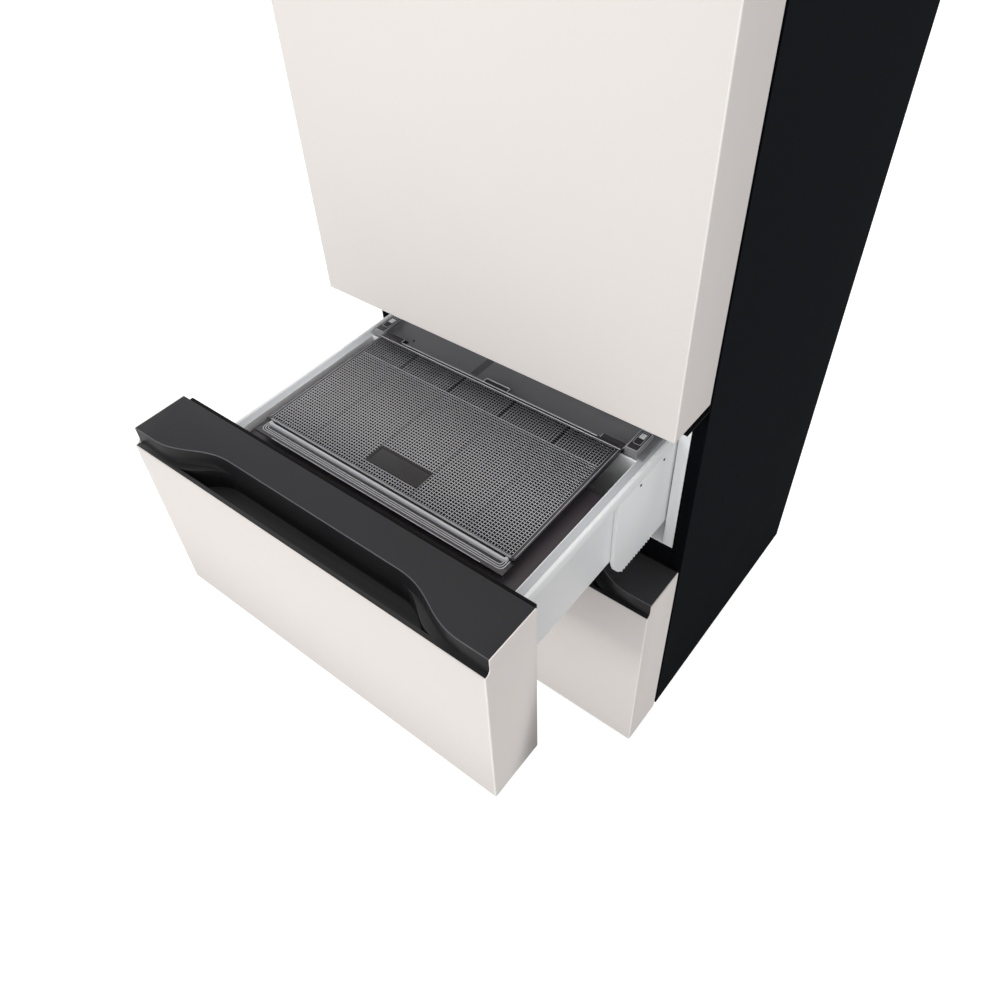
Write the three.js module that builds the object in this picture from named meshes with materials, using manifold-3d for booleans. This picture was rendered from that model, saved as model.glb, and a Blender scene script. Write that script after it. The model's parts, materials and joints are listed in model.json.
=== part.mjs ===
// Kimchi refrigerator, stand type: one hinged upper door over two full-width drawers.
// Millimetres. X to the right, Y from the closed fronts towards the wall, Z up from the floor.
import * as THREE from 'three';
import { mergeVertices } from 'three/addons/utils/BufferGeometryUtils.js';
import Module from 'manifold-3d';

const wasm = await Module();
wasm.setup();

// ---------------------------------------------------------------- driving dimensions

// Outside sizes
const WIDTH = 666;
const HEIGHT = 1860;
const DEPTH = 692;
const FLOOR_GAP = 30;
const FRONT_THICKNESS = 99;
const FRONT_GAP = 22;
const LOWER_FRONT_HEIGHT = 455;
const MIDDLE_FRONT_HEIGHT = 341;
const HINGE_COVER_HEIGHT = 18;
const DOOR_TOP_DROP = 4;

// How much of a drawer box stays inside the cabinet when the drawer is fully open
const BOX_STAY = 82;

// Sheets, walls and running gaps
const CLEARANCE = 0.3;
const SHEET = 1;
const FRONT_SKIN = 1.5;
const LINER_WALL = 2;
const GASKET_GAP = 8;
const GASKET_WIDTH = 18;
const GASKET_INSET = 12;
const GASKET_DROP = 12.6;

// Cabinet front frame and compartments
const STEEL_FLANGE = 23;
const LINER_FLANGE = 19;
const TOP_FLANGE = 12;
const BOTTOM_FLANGE = 3;
const CEILING_DROP = 30;
const DRAWER_MOUTH_DROP = 316;
const UPPER_FLOOR_RISE = 22;
const BACK_INSULATION = 78;
const BACK_INSET = 2;
const BEAM_DEPTH = 26;
const BEAM_WALL = 2;

// Machine compartment, low at the back
const MACHINE_DEPTH = 251;
const MACHINE_HEIGHT = 195;
const MACHINE_SIDE_WALL = 20;
const STEP_INSULATION = 28;
const MACHINE_COVER_INSET = 7;
const BASE_SHEET = 1.5;
const BASE_LIP = 5.7;

// Drawer fronts: the cream skin stops short of the dark cap, which carries the grip
const CAP_HEIGHT = 28;
const CAP_BODY_HEIGHT = 80;
const CHEEK_SETBACK = 10;
const GRIP_SETBACK = 45.5;
const GRIP_FLAT_INSET = 173;
const GRIP_END_INSET = 43;
const GRIP_STRIP = 8;
const GRIP_POCKET_INSET = 83;
const GRIP_STEPS = 20;
const GRIP_DEPTH = 62;
const GRIP_EASE = 0.45;
const INNER_PANEL = 4;

// Drawer box, measured down from the top of the drawer front
const RIM_DROP = 63;
const RIM_HEIGHT = 19;
const BOX_BOTTOM_DROP = 214;
const BOX_WALL = 3;
const BOX_SIDE_GAP = 10;
const RIM_SIDE_GAP = 3;
const RIM_WIDTH = 20;
const BOX_BACK_GAP = 6;
const FRONT_WELL_DEPTH = 332;
const WELL_DIVIDER = 4;

// Carriage between the drawer and the fixed rail, with a rack along its lower edge
const CARRIAGE_BACK_GAP = 59;
const CARRIAGE_SETBACK = 45;
const CARRIAGE_THICKNESS = 6.4;
const CARRIAGE_NOSE = 28;
const RACK_TIP_DROP = 266;
const NOSE_RISE = 52;
const NOSE_BEND_Y = 5.6;
const NOSE_BEND_Z = 20.8;
const RAIL_DROP = 142;
const RAIL_HEIGHT = 36;
const RAIL_THICKNESS = 2.6;
const RAIL_BACK_GAP = 10;
const SHOE_LENGTH = 130;
const SHOE_HEIGHT = 6;
const SHOE_INSET = 5;

// Rack and pinions that keep the two sides of a drawer level
const GEAR_MODULE = 2.4;
const PINION_TEETH = 12;
const RACK_STEP_GAP = 18;
const PRESSURE_ANGLE = THREE.MathUtils.degToRad(20);
const RACK_ADDENDUM = 0.66;
const RACK_DEDENDUM = 1.2;
const PINION_ADDENDUM = 0.9;
const BACKLASH = 0.6;
const MESH_CLEARANCE = 0.3;
const SHAFT_RADIUS = 4;
const SHAFT_BORE = 4.3;
const BEARING_WIDTH = 12;
const BEARING_HALF_DEPTH = 10;
const PINION_LEAD = 40;
const PINION_SIDE_GAP = 6;

// Lids and tubs of the middle drawer
const LID_SIDE_GAP = 25;
const LID_LENGTH = 292;
const LID_SKIRT = 9;
const LID_PLATE = 2.5;
const LID_FRONT_LIP = 26;
const LID_LIP_DROP = 5;
const LID_TAB_WIDTH = 43;
const LID_TAB_LENGTH = 14;
const LID_TAB_OUTSET = 1;
const LID_TAB_WALL = 1;
const LID_TAB_END = 2;
const NOTCH_GAP = 2;
const NOTCH_DEPTH = 8;
const LID_PIN_RADIUS = 2;
const LID_PIN_LENGTH = 6;
const REAR_PLATE = 2.7;
const REAR_PLATE_INSET = 12;
const EAR_WIDTH = 22;
const EAR_LENGTH = 50;
const EAR_HEIGHT = 13;
const LABEL_WIDTH = 98;
const LABEL_DEPTH = 33;
const LABEL_THICKNESS = 1;
const LABEL_SETBACK = 50;
const TUB_WALL = 2.5;
const TUB_HEIGHT = 132;
const TUB_DEPTH = 240;
const TUB_FRONT_GAP = 14;
const TUB_SIDE_GAP = 14;
const TUB_MIDDLE_GAP = 4;
const TUB_LID = 8;

// Hinges
const PIVOT_INSET = 12;
const PIVOT_SETBACK = 56;
const PIN_RADIUS = 4;
const PIN_BORE = 4.6;
const PIN_REACH = 14;
const HINGE_PLATE = 3;
const HINGE_WIDTH = 29;
const HINGE_FRONT = 42;
const TOP_HINGE_LENGTH = 136;
const HINGE_COVER_WALL = 2;
const HINGE_COVER_MARGIN = 8;

// Door
const DOOR_LINER = 3;
const DOOR_RIB_GAP = 16;
const DOOR_RIB_WIDTH = 16;
const DOOR_RIB_DEPTH = 62;
const DOOR_RIB_END = 50;
const BIN_HEIGHT = 95;
const BIN_DEPTH = 58;
const BIN_WALL = 2.5;
const BIN_RISES = [150, 470];
const DOOR_GRIP_HEIGHT = 360;
const DOOR_GRIP_RISE = 60;
const DOOR_GRIP_WIDTH = 30;
const DOOR_GRIP_DEPTH = 18;
const DOOR_GRIP_WALL = 2;

// Upper compartment
const SHELF_RISES = [270, 540];
const SHELF_GLASS = 4;
const SHELF_FRONT = 185;
const SHELF_LEDGE = 6;
const SHELF_SIDE_GAP = 2;
const AIR_DUCT_DEPTH = 52;
const AIR_COVER = 3;
const COIL_HEIGHT = 240;
const COIL_SIDE_GAP = 111;
const COIL_RISE = 110;
const COIL_DEPTH = 30;
const FIN_COUNT = 9;
const FIN_THICKNESS = 1.5;
const COIL_TUBE_RADIUS = 4;
const AIR_FAN_DROP = 150;
const AIR_FAN_RADIUS = 52;
const AIR_SLOT_COUNT = 5;
const AIR_SLOT_WIDTH = 180;
const AIR_SLOT_HEIGHT = 8;
const AIR_SLOT_PITCH = 26;

// Fans and their motors
const FAN_BLADES = 5;
const FAN_WIDTH = 14;
const FAN_CHORD = 30;
const FAN_BLADE = 2;
const FAN_BLADE_ROOT = 2;
const FAN_BLADE_ANGLE = THREE.MathUtils.degToRad(24);
const FAN_HUB_RADIUS = 15;
const FAN_AXLE_RADIUS = 2.5;
const FAN_BORE = 2.8;
const FAN_AXLE_END = 2;
const FAN_TIP_GAP = 4;
const MOTOR_RADIUS = 16;
const MOTOR_LENGTH = 16;
const MOTOR_BRACKET = 4;
const BRACKET_WIDTH = 16;
const BRACKET_LEG = 6;
const BRACKET_GAP = 10;

// Machine compartment contents
const COMPRESSOR_RADIUS = 68;
const COMPRESSOR_HEIGHT = 138;
const COMPRESSOR_INSET = 173;
const COMPRESSOR_SHOULDER = 17;
const COMPRESSOR_PLATE = 3;
const COMPRESSOR_PLATE_HALF = 80;
const COMPRESSOR_PLATE_HALF_DEPTH = 56;
const CONDENSER_WIDTH = 150;
const CONDENSER_DEPTH = 150;
const CONDENSER_HEIGHT = 130;
const CONDENSER_INSET = 143;
const MACHINE_FAN_RADIUS = 58;
const MACHINE_FAN_X = 0;
const MACHINE_FAN_RISE = 72;
const DRAIN_PAN_WIDTH = 130;
const DRAIN_PAN_HEIGHT = 22;
const DRAIN_PAN_WALL = 2;
const VENT_COUNT = 8;
const VENT_WIDTH = 180;
const VENT_HEIGHT = 7;
const VENT_PITCH = 18;
const VENT_MIDDLE_GAP = 18;
const INLET_RADIUS = 8;
const INLET_FLANGE = 12;
const INLET_BORE = 4;
const INLET_LIP = 3;
const INLET_INSET = 83;
const INLET_RISE = 100;

// Feet and rollers
const FOOT_INSET = 63;
const FOOT_SETBACK = 53;
const FOOT_RADIUS = 20;
const FOOT_DISC = 8;
const FOOT_NECK = 9;
const FOOT_STEM = 5;
const FOOT_HOLE = 5.4;
const FOOT_STEM_RISE = 5;
const ROLLER_INSET = 63;
const ROLLER_BACK_GAP = 50;
const ROLLER_RADIUS = 14;
const ROLLER_WIDTH = 16;
const ROLLER_AXLE = 3;
const ROLLER_BORE = 3.3;
const ROLLER_TAB = 2;
const ROLLER_TAB_HALF = 10;

const ROUND_STEPS = 20;

// How far a cutting tool runs past what it cuts, and a joined piece into its neighbour
const PAST = 1;

// ---------------------------------------------------------------- sizes that follow

const half = WIDTH / 2;
const cabinetFront = FRONT_THICKNESS + GASKET_GAP;
const cabinetBack = DEPTH - BACK_INSET - SHEET;
const cabinetTop = HEIGHT - HINGE_COVER_HEIGHT;
const innerHalf = half - SHEET - CLEARANCE;
const innerBack = cabinetBack - BACK_INSULATION;
const airFront = innerBack - AIR_DUCT_DEPTH;
const mouthHalf = half - STEEL_FLANGE - LINER_FLANGE;
const flangeHalf = half - STEEL_FLANGE;
const flangeBack = cabinetFront + LINER_WALL;

const lowerBottom = FLOOR_GAP;
const lowerTop = lowerBottom + LOWER_FRONT_HEIGHT;
const middleBottom = lowerTop + FRONT_GAP;
const middleTop = middleBottom + MIDDLE_FRONT_HEIGHT;
const doorBottom = middleTop + FRONT_GAP;
const doorTop = cabinetTop - DOOR_TOP_DROP;

const foamBottom = FLOOR_GAP + BASE_LIP + CLEARANCE;
const machineFront = cabinetBack - MACHINE_DEPTH;
const machineTop = FLOOR_GAP + MACHINE_HEIGHT;
const baseTop = FLOOR_GAP + BASE_SHEET;

const lowerSpace = drawerSpace(lowerTop);
lowerSpace.stepFront = machineFront - LINER_WALL;
lowerSpace.stepFloor = machineTop + STEP_INSULATION + LINER_WALL;
const middleSpace = drawerSpace(middleTop);
const upperSpace = { floor: doorBottom + UPPER_FLOOR_RISE, ceiling: doorTop - CEILING_DROP };
upperSpace.flangeBottom = upperSpace.floor - TOP_FLANGE;

const gripFlatHalf = half - GRIP_FLAT_INSET;
const gripEndHalf = half - GRIP_END_INSET;
const gripPocketHalf = half - GRIP_POCKET_INSET;

const pivotX = half - PIVOT_INSET;
const pivotY = PIVOT_SETBACK;
const ribHalf = mouthHalf - DOOR_RIB_GAP;

const boxHalf = mouthHalf - BOX_SIDE_GAP;
const rimHalf = mouthHalf - RIM_SIDE_GAP;
const lidHalf = rimHalf - RIM_WIDTH - LID_SIDE_GAP;
const boxBack = innerBack - BOX_BACK_GAP;
const drawerTravel = boxBack - cabinetFront - BOX_STAY;
const carriageFront = cabinetFront + CARRIAGE_SETBACK;
const carriageLength = innerBack - CARRIAGE_BACK_GAP - carriageFront;
const carriageInner = boxHalf + CLEARANCE;
const carriageOuter = carriageInner + CARRIAGE_THICKNESS;
const pinionY = carriageFront + PINION_LEAD;
const pitch = Math.PI * GEAR_MODULE;
const pitchRadius = GEAR_MODULE * PINION_TEETH / 2;
const rackAddendum = GEAR_MODULE * RACK_ADDENDUM;
const rackDedendum = GEAR_MODULE * RACK_DEDENDUM;
const rackRoom = lowerSpace.stepFront - RACK_STEP_GAP - carriageFront - CARRIAGE_NOSE;
const rackTeeth = Math.floor(rackRoom / pitch - 0.5);

// The compartment behind a drawer front whose top edge is at the given height
function drawerSpace(frontTop) {
  const floor = frontTop - DRAWER_MOUTH_DROP;
  return { floor, ceiling: frontTop - CEILING_DROP, flangeBottom: floor - BOTTOM_FLANGE, frontTop };
}

// ---------------------------------------------------------------- solids

// A closed three.js geometry as a solid that can be joined and cut
function solid(geometry) {
  const bare = geometry.index ? geometry.toNonIndexed() : geometry;
  bare.deleteAttribute('normal');
  bare.deleteAttribute('uv');
  const merged = mergeVertices(bare, 1e-4);
  const vertProperties = new Float32Array(merged.attributes.position.array);
  const triVerts = new Uint32Array(merged.index.array);
  return new wasm.Manifold(new wasm.Mesh({ numProp: 3, vertProperties, triVerts }));
}

// A box between two corners
function box(x0, x1, y0, y1, z0, z1) {
  const geometry = new THREE.BoxGeometry(x1 - x0, y1 - y0, z1 - z0);
  geometry.translate((x0 + x1) / 2, (y0 + y1) / 2, (z0 + z1) / 2);
  return solid(geometry);
}

// A box centred on the middle plane
function centredBox(halfWidth, y0, y1, z0, z1) {
  return box(-halfWidth, halfWidth, y0, y1, z0, z1);
}

// An outline in Y and Z, given thickness along X
function prismAlongX(shape, x0, x1, curveSegments = 4) {
  const geometry = new THREE.ExtrudeGeometry(shape, { depth: x1 - x0, bevelEnabled: false, curveSegments });
  const toWorld = new THREE.Matrix4().makeBasis(
    new THREE.Vector3(0, 1, 0),
    new THREE.Vector3(0, 0, 1),
    new THREE.Vector3(1, 0, 0),
  );
  geometry.applyMatrix4(toWorld);
  geometry.translate(x0, 0, 0);
  return solid(geometry);
}

// An outline in X and Y, given height along Z
function prismAlongZ(shape, z0, z1, curveSegments = 8) {
  const geometry = new THREE.ExtrudeGeometry(shape, { depth: z1 - z0, bevelEnabled: false, curveSegments });
  geometry.translate(0, 0, z0);
  return solid(geometry);
}

// A round solid about a line through a point: the profile lists radius and distance along the line
function turned(profile, direction, point, steps = ROUND_STEPS) {
  const outline = profile.map(([radius, along]) => new THREE.Vector2(radius, along));
  const geometry = new THREE.LatheGeometry(outline, steps);
  const up = new THREE.Vector3(0, 1, 0);
  geometry.applyQuaternion(new THREE.Quaternion().setFromUnitVectors(up, direction));
  geometry.translate(point.x, point.y, point.z);
  return solid(geometry);
}

const alongX = new THREE.Vector3(1, 0, 0);
const alongY = new THREE.Vector3(0, 1, 0);
const alongZ = new THREE.Vector3(0, 0, 1);

// A plain round rod from one distance to another along a line
function rod(radius, from, to, direction, point, steps = ROUND_STEPS) {
  return turned([[0, from], [radius, from], [radius, to], [0, to]], direction, point, steps);
}

function join(...solids) {
  return solids.reduce((whole, piece) => whole.add(piece));
}

function cut(whole, ...tools) {
  return tools.reduce((rest, tool) => rest.subtract(tool), whole);
}

// A solid as a named mesh with its own material
function mesh(name, shape, look) {
  const { numProp, vertProperties, triVerts } = shape.getMesh();
  const geometry = new THREE.BufferGeometry();
  geometry.setAttribute('position', new THREE.BufferAttribute(new Float32Array(vertProperties), numProp));
  geometry.setIndex(new THREE.BufferAttribute(new Uint32Array(triVerts), 1));
  geometry.computeVertexNormals();
  const piece = new THREE.Mesh(geometry, new THREE.MeshStandardMaterial(look));
  piece.name = name;
  return piece;
}

// ---------------------------------------------------------------- looks

const LOOKS = {
  blackSteel: { color: 0x202226, roughness: 0.55, metalness: 0.2 },
  zincSteel: { color: 0x9a9da0, roughness: 0.4, metalness: 0.9 },
  creamSteel: { color: 0xe9e5e1, roughness: 0.45, metalness: 0.0 },
  darkPlastic: { color: 0x3c3c3e, roughness: 0.5, metalness: 0.0 },
  whitePlastic: { color: 0xd8d9db, roughness: 0.4, metalness: 0.0 },
  greyRubber: { color: 0x2c2d2f, roughness: 0.9, metalness: 0.0 },
  smokedPlastic: { color: 0x525254, roughness: 0.2, metalness: 0.0 },
  tubPlastic: { color: 0x4a4549, roughness: 0.35, metalness: 0.0 },
  clearGlass: { color: 0xc8d4d2, roughness: 0.05, metalness: 0.0 },
  foam: { color: 0xd9c98f, roughness: 0.95, metalness: 0.0 },
  aluminium: { color: 0xb8bcc0, roughness: 0.35, metalness: 0.9 },
  compressorSteel: { color: 0x17181a, roughness: 0.4, metalness: 0.4 },
  gearPlastic: { color: 0xe8e6df, roughness: 0.5, metalness: 0.0 },
};

// ---------------------------------------------------------------- cabinet

// Wrapped sheet: both sides and the top, folded in at the front, with an apron below the lower mouth
function cabinetShell() {
  const shell = cut(
    centredBox(half, cabinetFront, DEPTH, FLOOR_GAP, cabinetTop),
    centredBox(half - SHEET, cabinetFront + SHEET, DEPTH + PAST, FLOOR_GAP - PAST, cabinetTop - SHEET),
    centredBox(
      flangeHalf + CLEARANCE, cabinetFront - PAST, flangeBack,
      lowerSpace.flangeBottom - CLEARANCE, upperSpace.ceiling + TOP_FLANGE + CLEARANCE,
    ),
  );
  return mesh('cabinet_shell', shell, LOOKS.blackSteel);
}

function backPanel() {
  const high = cabinetTop - SHEET - CLEARANCE;
  const panel = centredBox(innerHalf, cabinetBack, cabinetBack + SHEET, machineTop, high);
  return mesh('back_panel', panel, LOOKS.zincSteel);
}

// One box, or two where the floor steps up over the machine compartment
function spaceSolid(space, grow, from) {
  const sideways = mouthHalf + grow;
  const back = innerBack + grow;
  const high = space.ceiling + grow;
  if (space.stepFront === undefined) {
    return centredBox(sideways, from, back, space.floor - grow, high);
  }
  return join(
    centredBox(sideways, from, space.stepFront + grow, space.floor - grow, high),
    centredBox(sideways, from, back, space.stepFloor - grow, high),
  );
}

// The front frame of a liner, before its mouth is cut out
function flangeSolid(space) {
  return centredBox(flangeHalf, cabinetFront, flangeBack, space.flangeBottom, space.ceiling + TOP_FLANGE);
}

function linerSolid(space) {
  return cut(
    join(spaceSolid(space, LINER_WALL, cabinetFront + LINER_WALL / 2), flangeSolid(space)),
    spaceSolid(space, 0, cabinetFront - SHEET),
  );
}

function pinionHeight(space) {
  const pitchLine = space.frontTop - RACK_TIP_DROP + rackAddendum;
  return pitchLine - pitchRadius - MESH_CLEARANCE;
}

// Two bearing blocks on a drawer compartment's floor, bored for the pinion shaft
function bearingBlocks(space) {
  const centre = pinionHeight(space);
  const outer = carriageInner - PINION_SIDE_GAP;
  const blocks = [-1, 1].map((side) => box(
    Math.min(side * outer, side * (outer - BEARING_WIDTH)),
    Math.max(side * outer, side * (outer - BEARING_WIDTH)),
    pinionY - BEARING_HALF_DEPTH, pinionY + BEARING_HALF_DEPTH,
    space.floor - LINER_WALL / 2, centre + BEARING_HALF_DEPTH,
  ));
  const axis = new THREE.Vector3(0, pinionY, centre);
  const bore = rod(SHAFT_BORE, -outer - PAST, outer + PAST, alongX, axis, 12);
  return cut(join(...blocks), bore);
}

function drawerLiner(name, space) {
  return mesh(name, join(linerSolid(space), bearingBlocks(space)), LOOKS.whitePlastic);
}

function shelfHeight(rise) {
  return upperSpace.floor + rise;
}

// The upper liner has a ledge on each side below each shelf
function upperLiner() {
  const ledges = SHELF_RISES.flatMap((rise) => [-1, 1].map((side) => box(
    Math.min(side * (mouthHalf + LINER_WALL / 2), side * (mouthHalf - SHELF_LEDGE)),
    Math.max(side * (mouthHalf + LINER_WALL / 2), side * (mouthHalf - SHELF_LEDGE)),
    SHELF_FRONT, airFront - SHEET, shelfHeight(rise) - SHELF_LEDGE, shelfHeight(rise),
  )));
  return mesh('upper_liner', join(linerSolid(upperSpace), ...ledges), LOOKS.whitePlastic);
}

const beams = [
  { name: 'lower_crossbeam', low: lowerSpace.ceiling + TOP_FLANGE, high: middleSpace.flangeBottom },
  { name: 'upper_crossbeam', low: middleSpace.ceiling + TOP_FLANGE, high: upperSpace.flangeBottom },
];

// The outer block of a crossbeam, which the foam leaves free
function beamBlock({ low, high }, grow) {
  return centredBox(
    flangeHalf - CLEARANCE + grow, cabinetFront, cabinetFront + BEAM_DEPTH + grow,
    low + CLEARANCE - grow, high - CLEARANCE + grow,
  );
}

// Channel section with its flat face forward
function crossbeam(beam) {
  const hollow = centredBox(
    half, cabinetFront + BEAM_WALL, cabinetFront + BEAM_DEPTH + BEAM_WALL,
    beam.low + CLEARANCE + BEAM_WALL, beam.high - CLEARANCE - BEAM_WALL,
  );
  return mesh(beam.name, cut(beamBlock(beam, 0), hollow), LOOKS.blackSteel);
}

// Foam between the shell and the liners; its side walls run down past the machine compartment
function insulationFoam() {
  const block = centredBox(
    innerHalf, flangeBack + CLEARANCE, cabinetBack - CLEARANCE, foamBottom, cabinetTop - SHEET - CLEARANCE,
  );
  const spaces = [lowerSpace, middleSpace, upperSpace];
  const liners = spaces.map((space) => spaceSolid(space, LINER_WALL + CLEARANCE, cabinetFront));
  const pockets = beams.map((beam) => beamBlock(beam, CLEARANCE));
  const machine = centredBox(
    innerHalf - MACHINE_SIDE_WALL, machineFront, cabinetBack + SHEET, FLOOR_GAP, machineTop - CLEARANCE,
  );
  return mesh('insulation_foam', cut(block, ...liners, ...pockets, machine), LOOKS.foam);
}

const rollerX = half - ROLLER_INSET;
const rollerY = cabinetBack - ROLLER_BACK_GAP;
const footX = half - FOOT_INSET;
const footY = cabinetFront + FOOT_SETBACK;

// Pressed floor with turned-up sides, foot holes and the roller brackets with their axles
function basePan() {
  const front = flangeBack + CLEARANCE;
  const back = cabinetBack - CLEARANCE;
  const tray = cut(
    centredBox(innerHalf, front, back, FLOOR_GAP, FLOOR_GAP + BASE_LIP),
    centredBox(innerHalf - BASE_SHEET, front - PAST, back + PAST, baseTop, FLOOR_GAP + BASE_LIP + PAST),
  );
  const brackets = [-rollerX, rollerX].map((x) => {
    const inner = ROLLER_WIDTH / 2 + CLEARANCE;
    const outer = inner + ROLLER_TAB;
    const tabs = [[-outer, -inner], [inner, outer]].map(([from, to]) => box(
      x + from, x + to, rollerY - ROLLER_TAB_HALF, rollerY + ROLLER_TAB_HALF,
      ROLLER_RADIUS - ROLLER_AXLE - ROLLER_TAB, FLOOR_GAP + BASE_SHEET / 2,
    ));
    const reach = inner + ROLLER_TAB / 2;
    const axle = rod(ROLLER_AXLE, -reach, reach, alongX, new THREE.Vector3(x, rollerY, ROLLER_RADIUS), 12);
    return join(...tabs, axle);
  });
  const holes = [-footX, footX].map((x) => rod(
    FOOT_HOLE, FLOOR_GAP - PAST, baseTop + PAST, alongZ, new THREE.Vector3(x, footY, 0), 16,
  ));
  return mesh('base_pan', cut(join(tray, ...brackets), ...holes), LOOKS.zincSteel);
}

function foot(name, x) {
  const stemTop = FLOOR_GAP + FOOT_STEM_RISE;
  const shoulder = FLOOR_GAP - CLEARANCE;
  const profile = [
    [0, 0], [FOOT_RADIUS, 0], [FOOT_RADIUS, FOOT_DISC], [FOOT_NECK, FOOT_DISC],
    [FOOT_NECK, shoulder], [FOOT_STEM, shoulder], [FOOT_STEM, stemTop], [0, stemTop],
  ];
  return mesh(name, turned(profile, alongZ, new THREE.Vector3(x, footY, 0)), LOOKS.darkPlastic);
}

function roller(name, x) {
  const edge = ROLLER_WIDTH / 2;
  const profile = [
    [ROLLER_BORE, -edge], [ROLLER_RADIUS, -edge], [ROLLER_RADIUS, edge],
    [ROLLER_BORE, edge], [ROLLER_BORE, -edge],
  ];
  const centre = new THREE.Vector3(x, rollerY, ROLLER_RADIUS);
  return mesh(name, turned(profile, alongX, centre, 24), LOOKS.darkPlastic);
}

// ---------------------------------------------------------------- door hinges

const hingeRight = half - SHEET - CLEARANCE;

// Plate screwed on the cabinet's top, with a pin down into the door
function topHinge() {
  const low = cabinetTop + CLEARANCE;
  const plate = box(
    hingeRight - HINGE_WIDTH, hingeRight, HINGE_FRONT, HINGE_FRONT + TOP_HINGE_LENGTH, low, low + HINGE_PLATE,
  );
  const axis = new THREE.Vector3(pivotX, pivotY, 0);
  const pin = rod(PIN_RADIUS, doorTop - PIN_REACH, low + HINGE_PLATE / 2, alongZ, axis);
  return mesh('top_hinge', join(plate, pin), LOOKS.zincSteel);
}

// Bracket in the gap above the middle drawer, with a shouldered pin up into the door
function middleHinge() {
  const low = middleTop + HINGE_PLATE + CLEARANCE;
  const high = low + HINGE_PLATE;
  const left = hingeRight - HINGE_WIDTH;
  const back = cabinetFront - CLEARANCE;
  const legTop = doorBottom - CLEARANCE;
  const angle = cut(
    box(left, hingeRight, HINGE_FRONT, back, low, legTop),
    box(left - PAST, hingeRight + PAST, HINGE_FRONT - PAST, back - HINGE_PLATE, high, legTop + PAST),
  );
  const axis = new THREE.Vector3(pivotX, pivotY, 0);
  const shoulder = rod(PIN_RADIUS * 2, low + HINGE_PLATE / 2, doorBottom - CLEARANCE, alongZ, axis);
  const pin = rod(PIN_RADIUS, low + HINGE_PLATE / 2, doorBottom + PIN_REACH, alongZ, axis);
  return mesh('middle_hinge', join(angle, shoulder, pin), LOOKS.zincSteel);
}

// Hollow cover over the top hinge, raised clear of the door
function hingeCover() {
  const left = hingeRight - HINGE_WIDTH - HINGE_COVER_MARGIN;
  const front = HINGE_FRONT - HINGE_COVER_MARGIN;
  const back = HINGE_FRONT + TOP_HINGE_LENGTH + HINGE_COVER_MARGIN;
  const low = cabinetTop + CLEARANCE;
  const wall = HINGE_COVER_WALL;
  const hollow = box(left + wall, half - wall / 2, front + wall, back - wall, low - PAST, HEIGHT - wall);
  return mesh('hinge_cover', cut(box(left, half, front, back, low, HEIGHT), hollow), LOOKS.darkPlastic);
}

// ---------------------------------------------------------------- fans

// Flat-bladed fan about its own Z axis, centred on the origin
function fanSolid(radius) {
  const edge = FAN_WIDTH / 2;
  const origin = new THREE.Vector3();
  const hub = rod(FAN_HUB_RADIUS, -edge, edge, alongZ, origin, 16);
  const blades = Array.from({ length: FAN_BLADES }, (_, index) => {
    const root = FAN_HUB_RADIUS - FAN_BLADE_ROOT;
    const blade = new THREE.BoxGeometry(radius - root, FAN_CHORD, FAN_BLADE);
    blade.rotateX(FAN_BLADE_ANGLE);
    blade.translate((radius + root) / 2, 0, 0);
    blade.rotateZ(2 * Math.PI * index / FAN_BLADES);
    return solid(blade);
  });
  const bore = rod(FAN_BORE, -edge * 2, edge * 2, alongZ, origin, 12);
  const rim = rod(radius, -edge - PAST, edge + PAST, alongZ, origin, 32);
  return cut(join(hub, ...blades).intersect(rim), bore);
}

// Motor and axle behind a fan: the bracket face is at distance zero and the axle runs to the fan
function motorSolid(direction, point) {
  const reach = MOTOR_LENGTH + FAN_WIDTH + FAN_AXLE_END;
  return join(
    rod(MOTOR_RADIUS, 0, MOTOR_LENGTH, direction, point, 16),
    rod(FAN_AXLE_RADIUS, 0, reach, direction, point, 12),
  );
}

const fanOffset = MOTOR_LENGTH + CLEARANCE + FAN_WIDTH / 2;

// ---------------------------------------------------------------- upper compartment

const airFanHeight = upperSpace.ceiling - AIR_FAN_DROP;
const airMotorY = innerBack - MOTOR_BRACKET - CLEARANCE;

// Cover in front of the evaporator, with slots, the fan opening and the motor's bracket behind it
function evaporatorCover() {
  const coverHalf = mouthHalf - CLEARANCE;
  const plate = centredBox(
    coverHalf, airFront, airFront + AIR_COVER, upperSpace.floor + CLEARANCE, upperSpace.ceiling - CLEARANCE,
  );
  const fanHole = rod(
    AIR_FAN_RADIUS + FAN_TIP_GAP, airFront - PAST, airFront + AIR_COVER + PAST, alongY,
    new THREE.Vector3(0, 0, airFanHeight), 32,
  );
  const slots = Array.from({ length: AIR_SLOT_COUNT }, (_, index) => {
    const low = upperSpace.floor + AIR_SLOT_PITCH * (index + 1);
    const high = low + AIR_SLOT_HEIGHT;
    return centredBox(AIR_SLOT_WIDTH / 2, airFront - PAST, airFront + AIR_COVER + PAST, low, high);
  });
  const legHalf = AIR_FAN_RADIUS + BRACKET_GAP;
  const barHalf = BRACKET_WIDTH / 2;
  const bracket = cut(
    centredBox(
      legHalf + BRACKET_LEG, airFront + AIR_COVER / 2, airMotorY + MOTOR_BRACKET,
      airFanHeight - barHalf, airFanHeight + barHalf,
    ),
    centredBox(legHalf, airFront, airMotorY, airFanHeight - barHalf - PAST, airFanHeight + barHalf + PAST),
  );
  const forward = new THREE.Vector3(0, -1, 0);
  const motor = motorSolid(forward, new THREE.Vector3(0, airMotorY + MOTOR_BRACKET / 2, airFanHeight));
  const shape = join(cut(plate, fanHole, ...slots), bracket, motor);
  return mesh('evaporator_cover', shape, LOOKS.whitePlastic);
}

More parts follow.
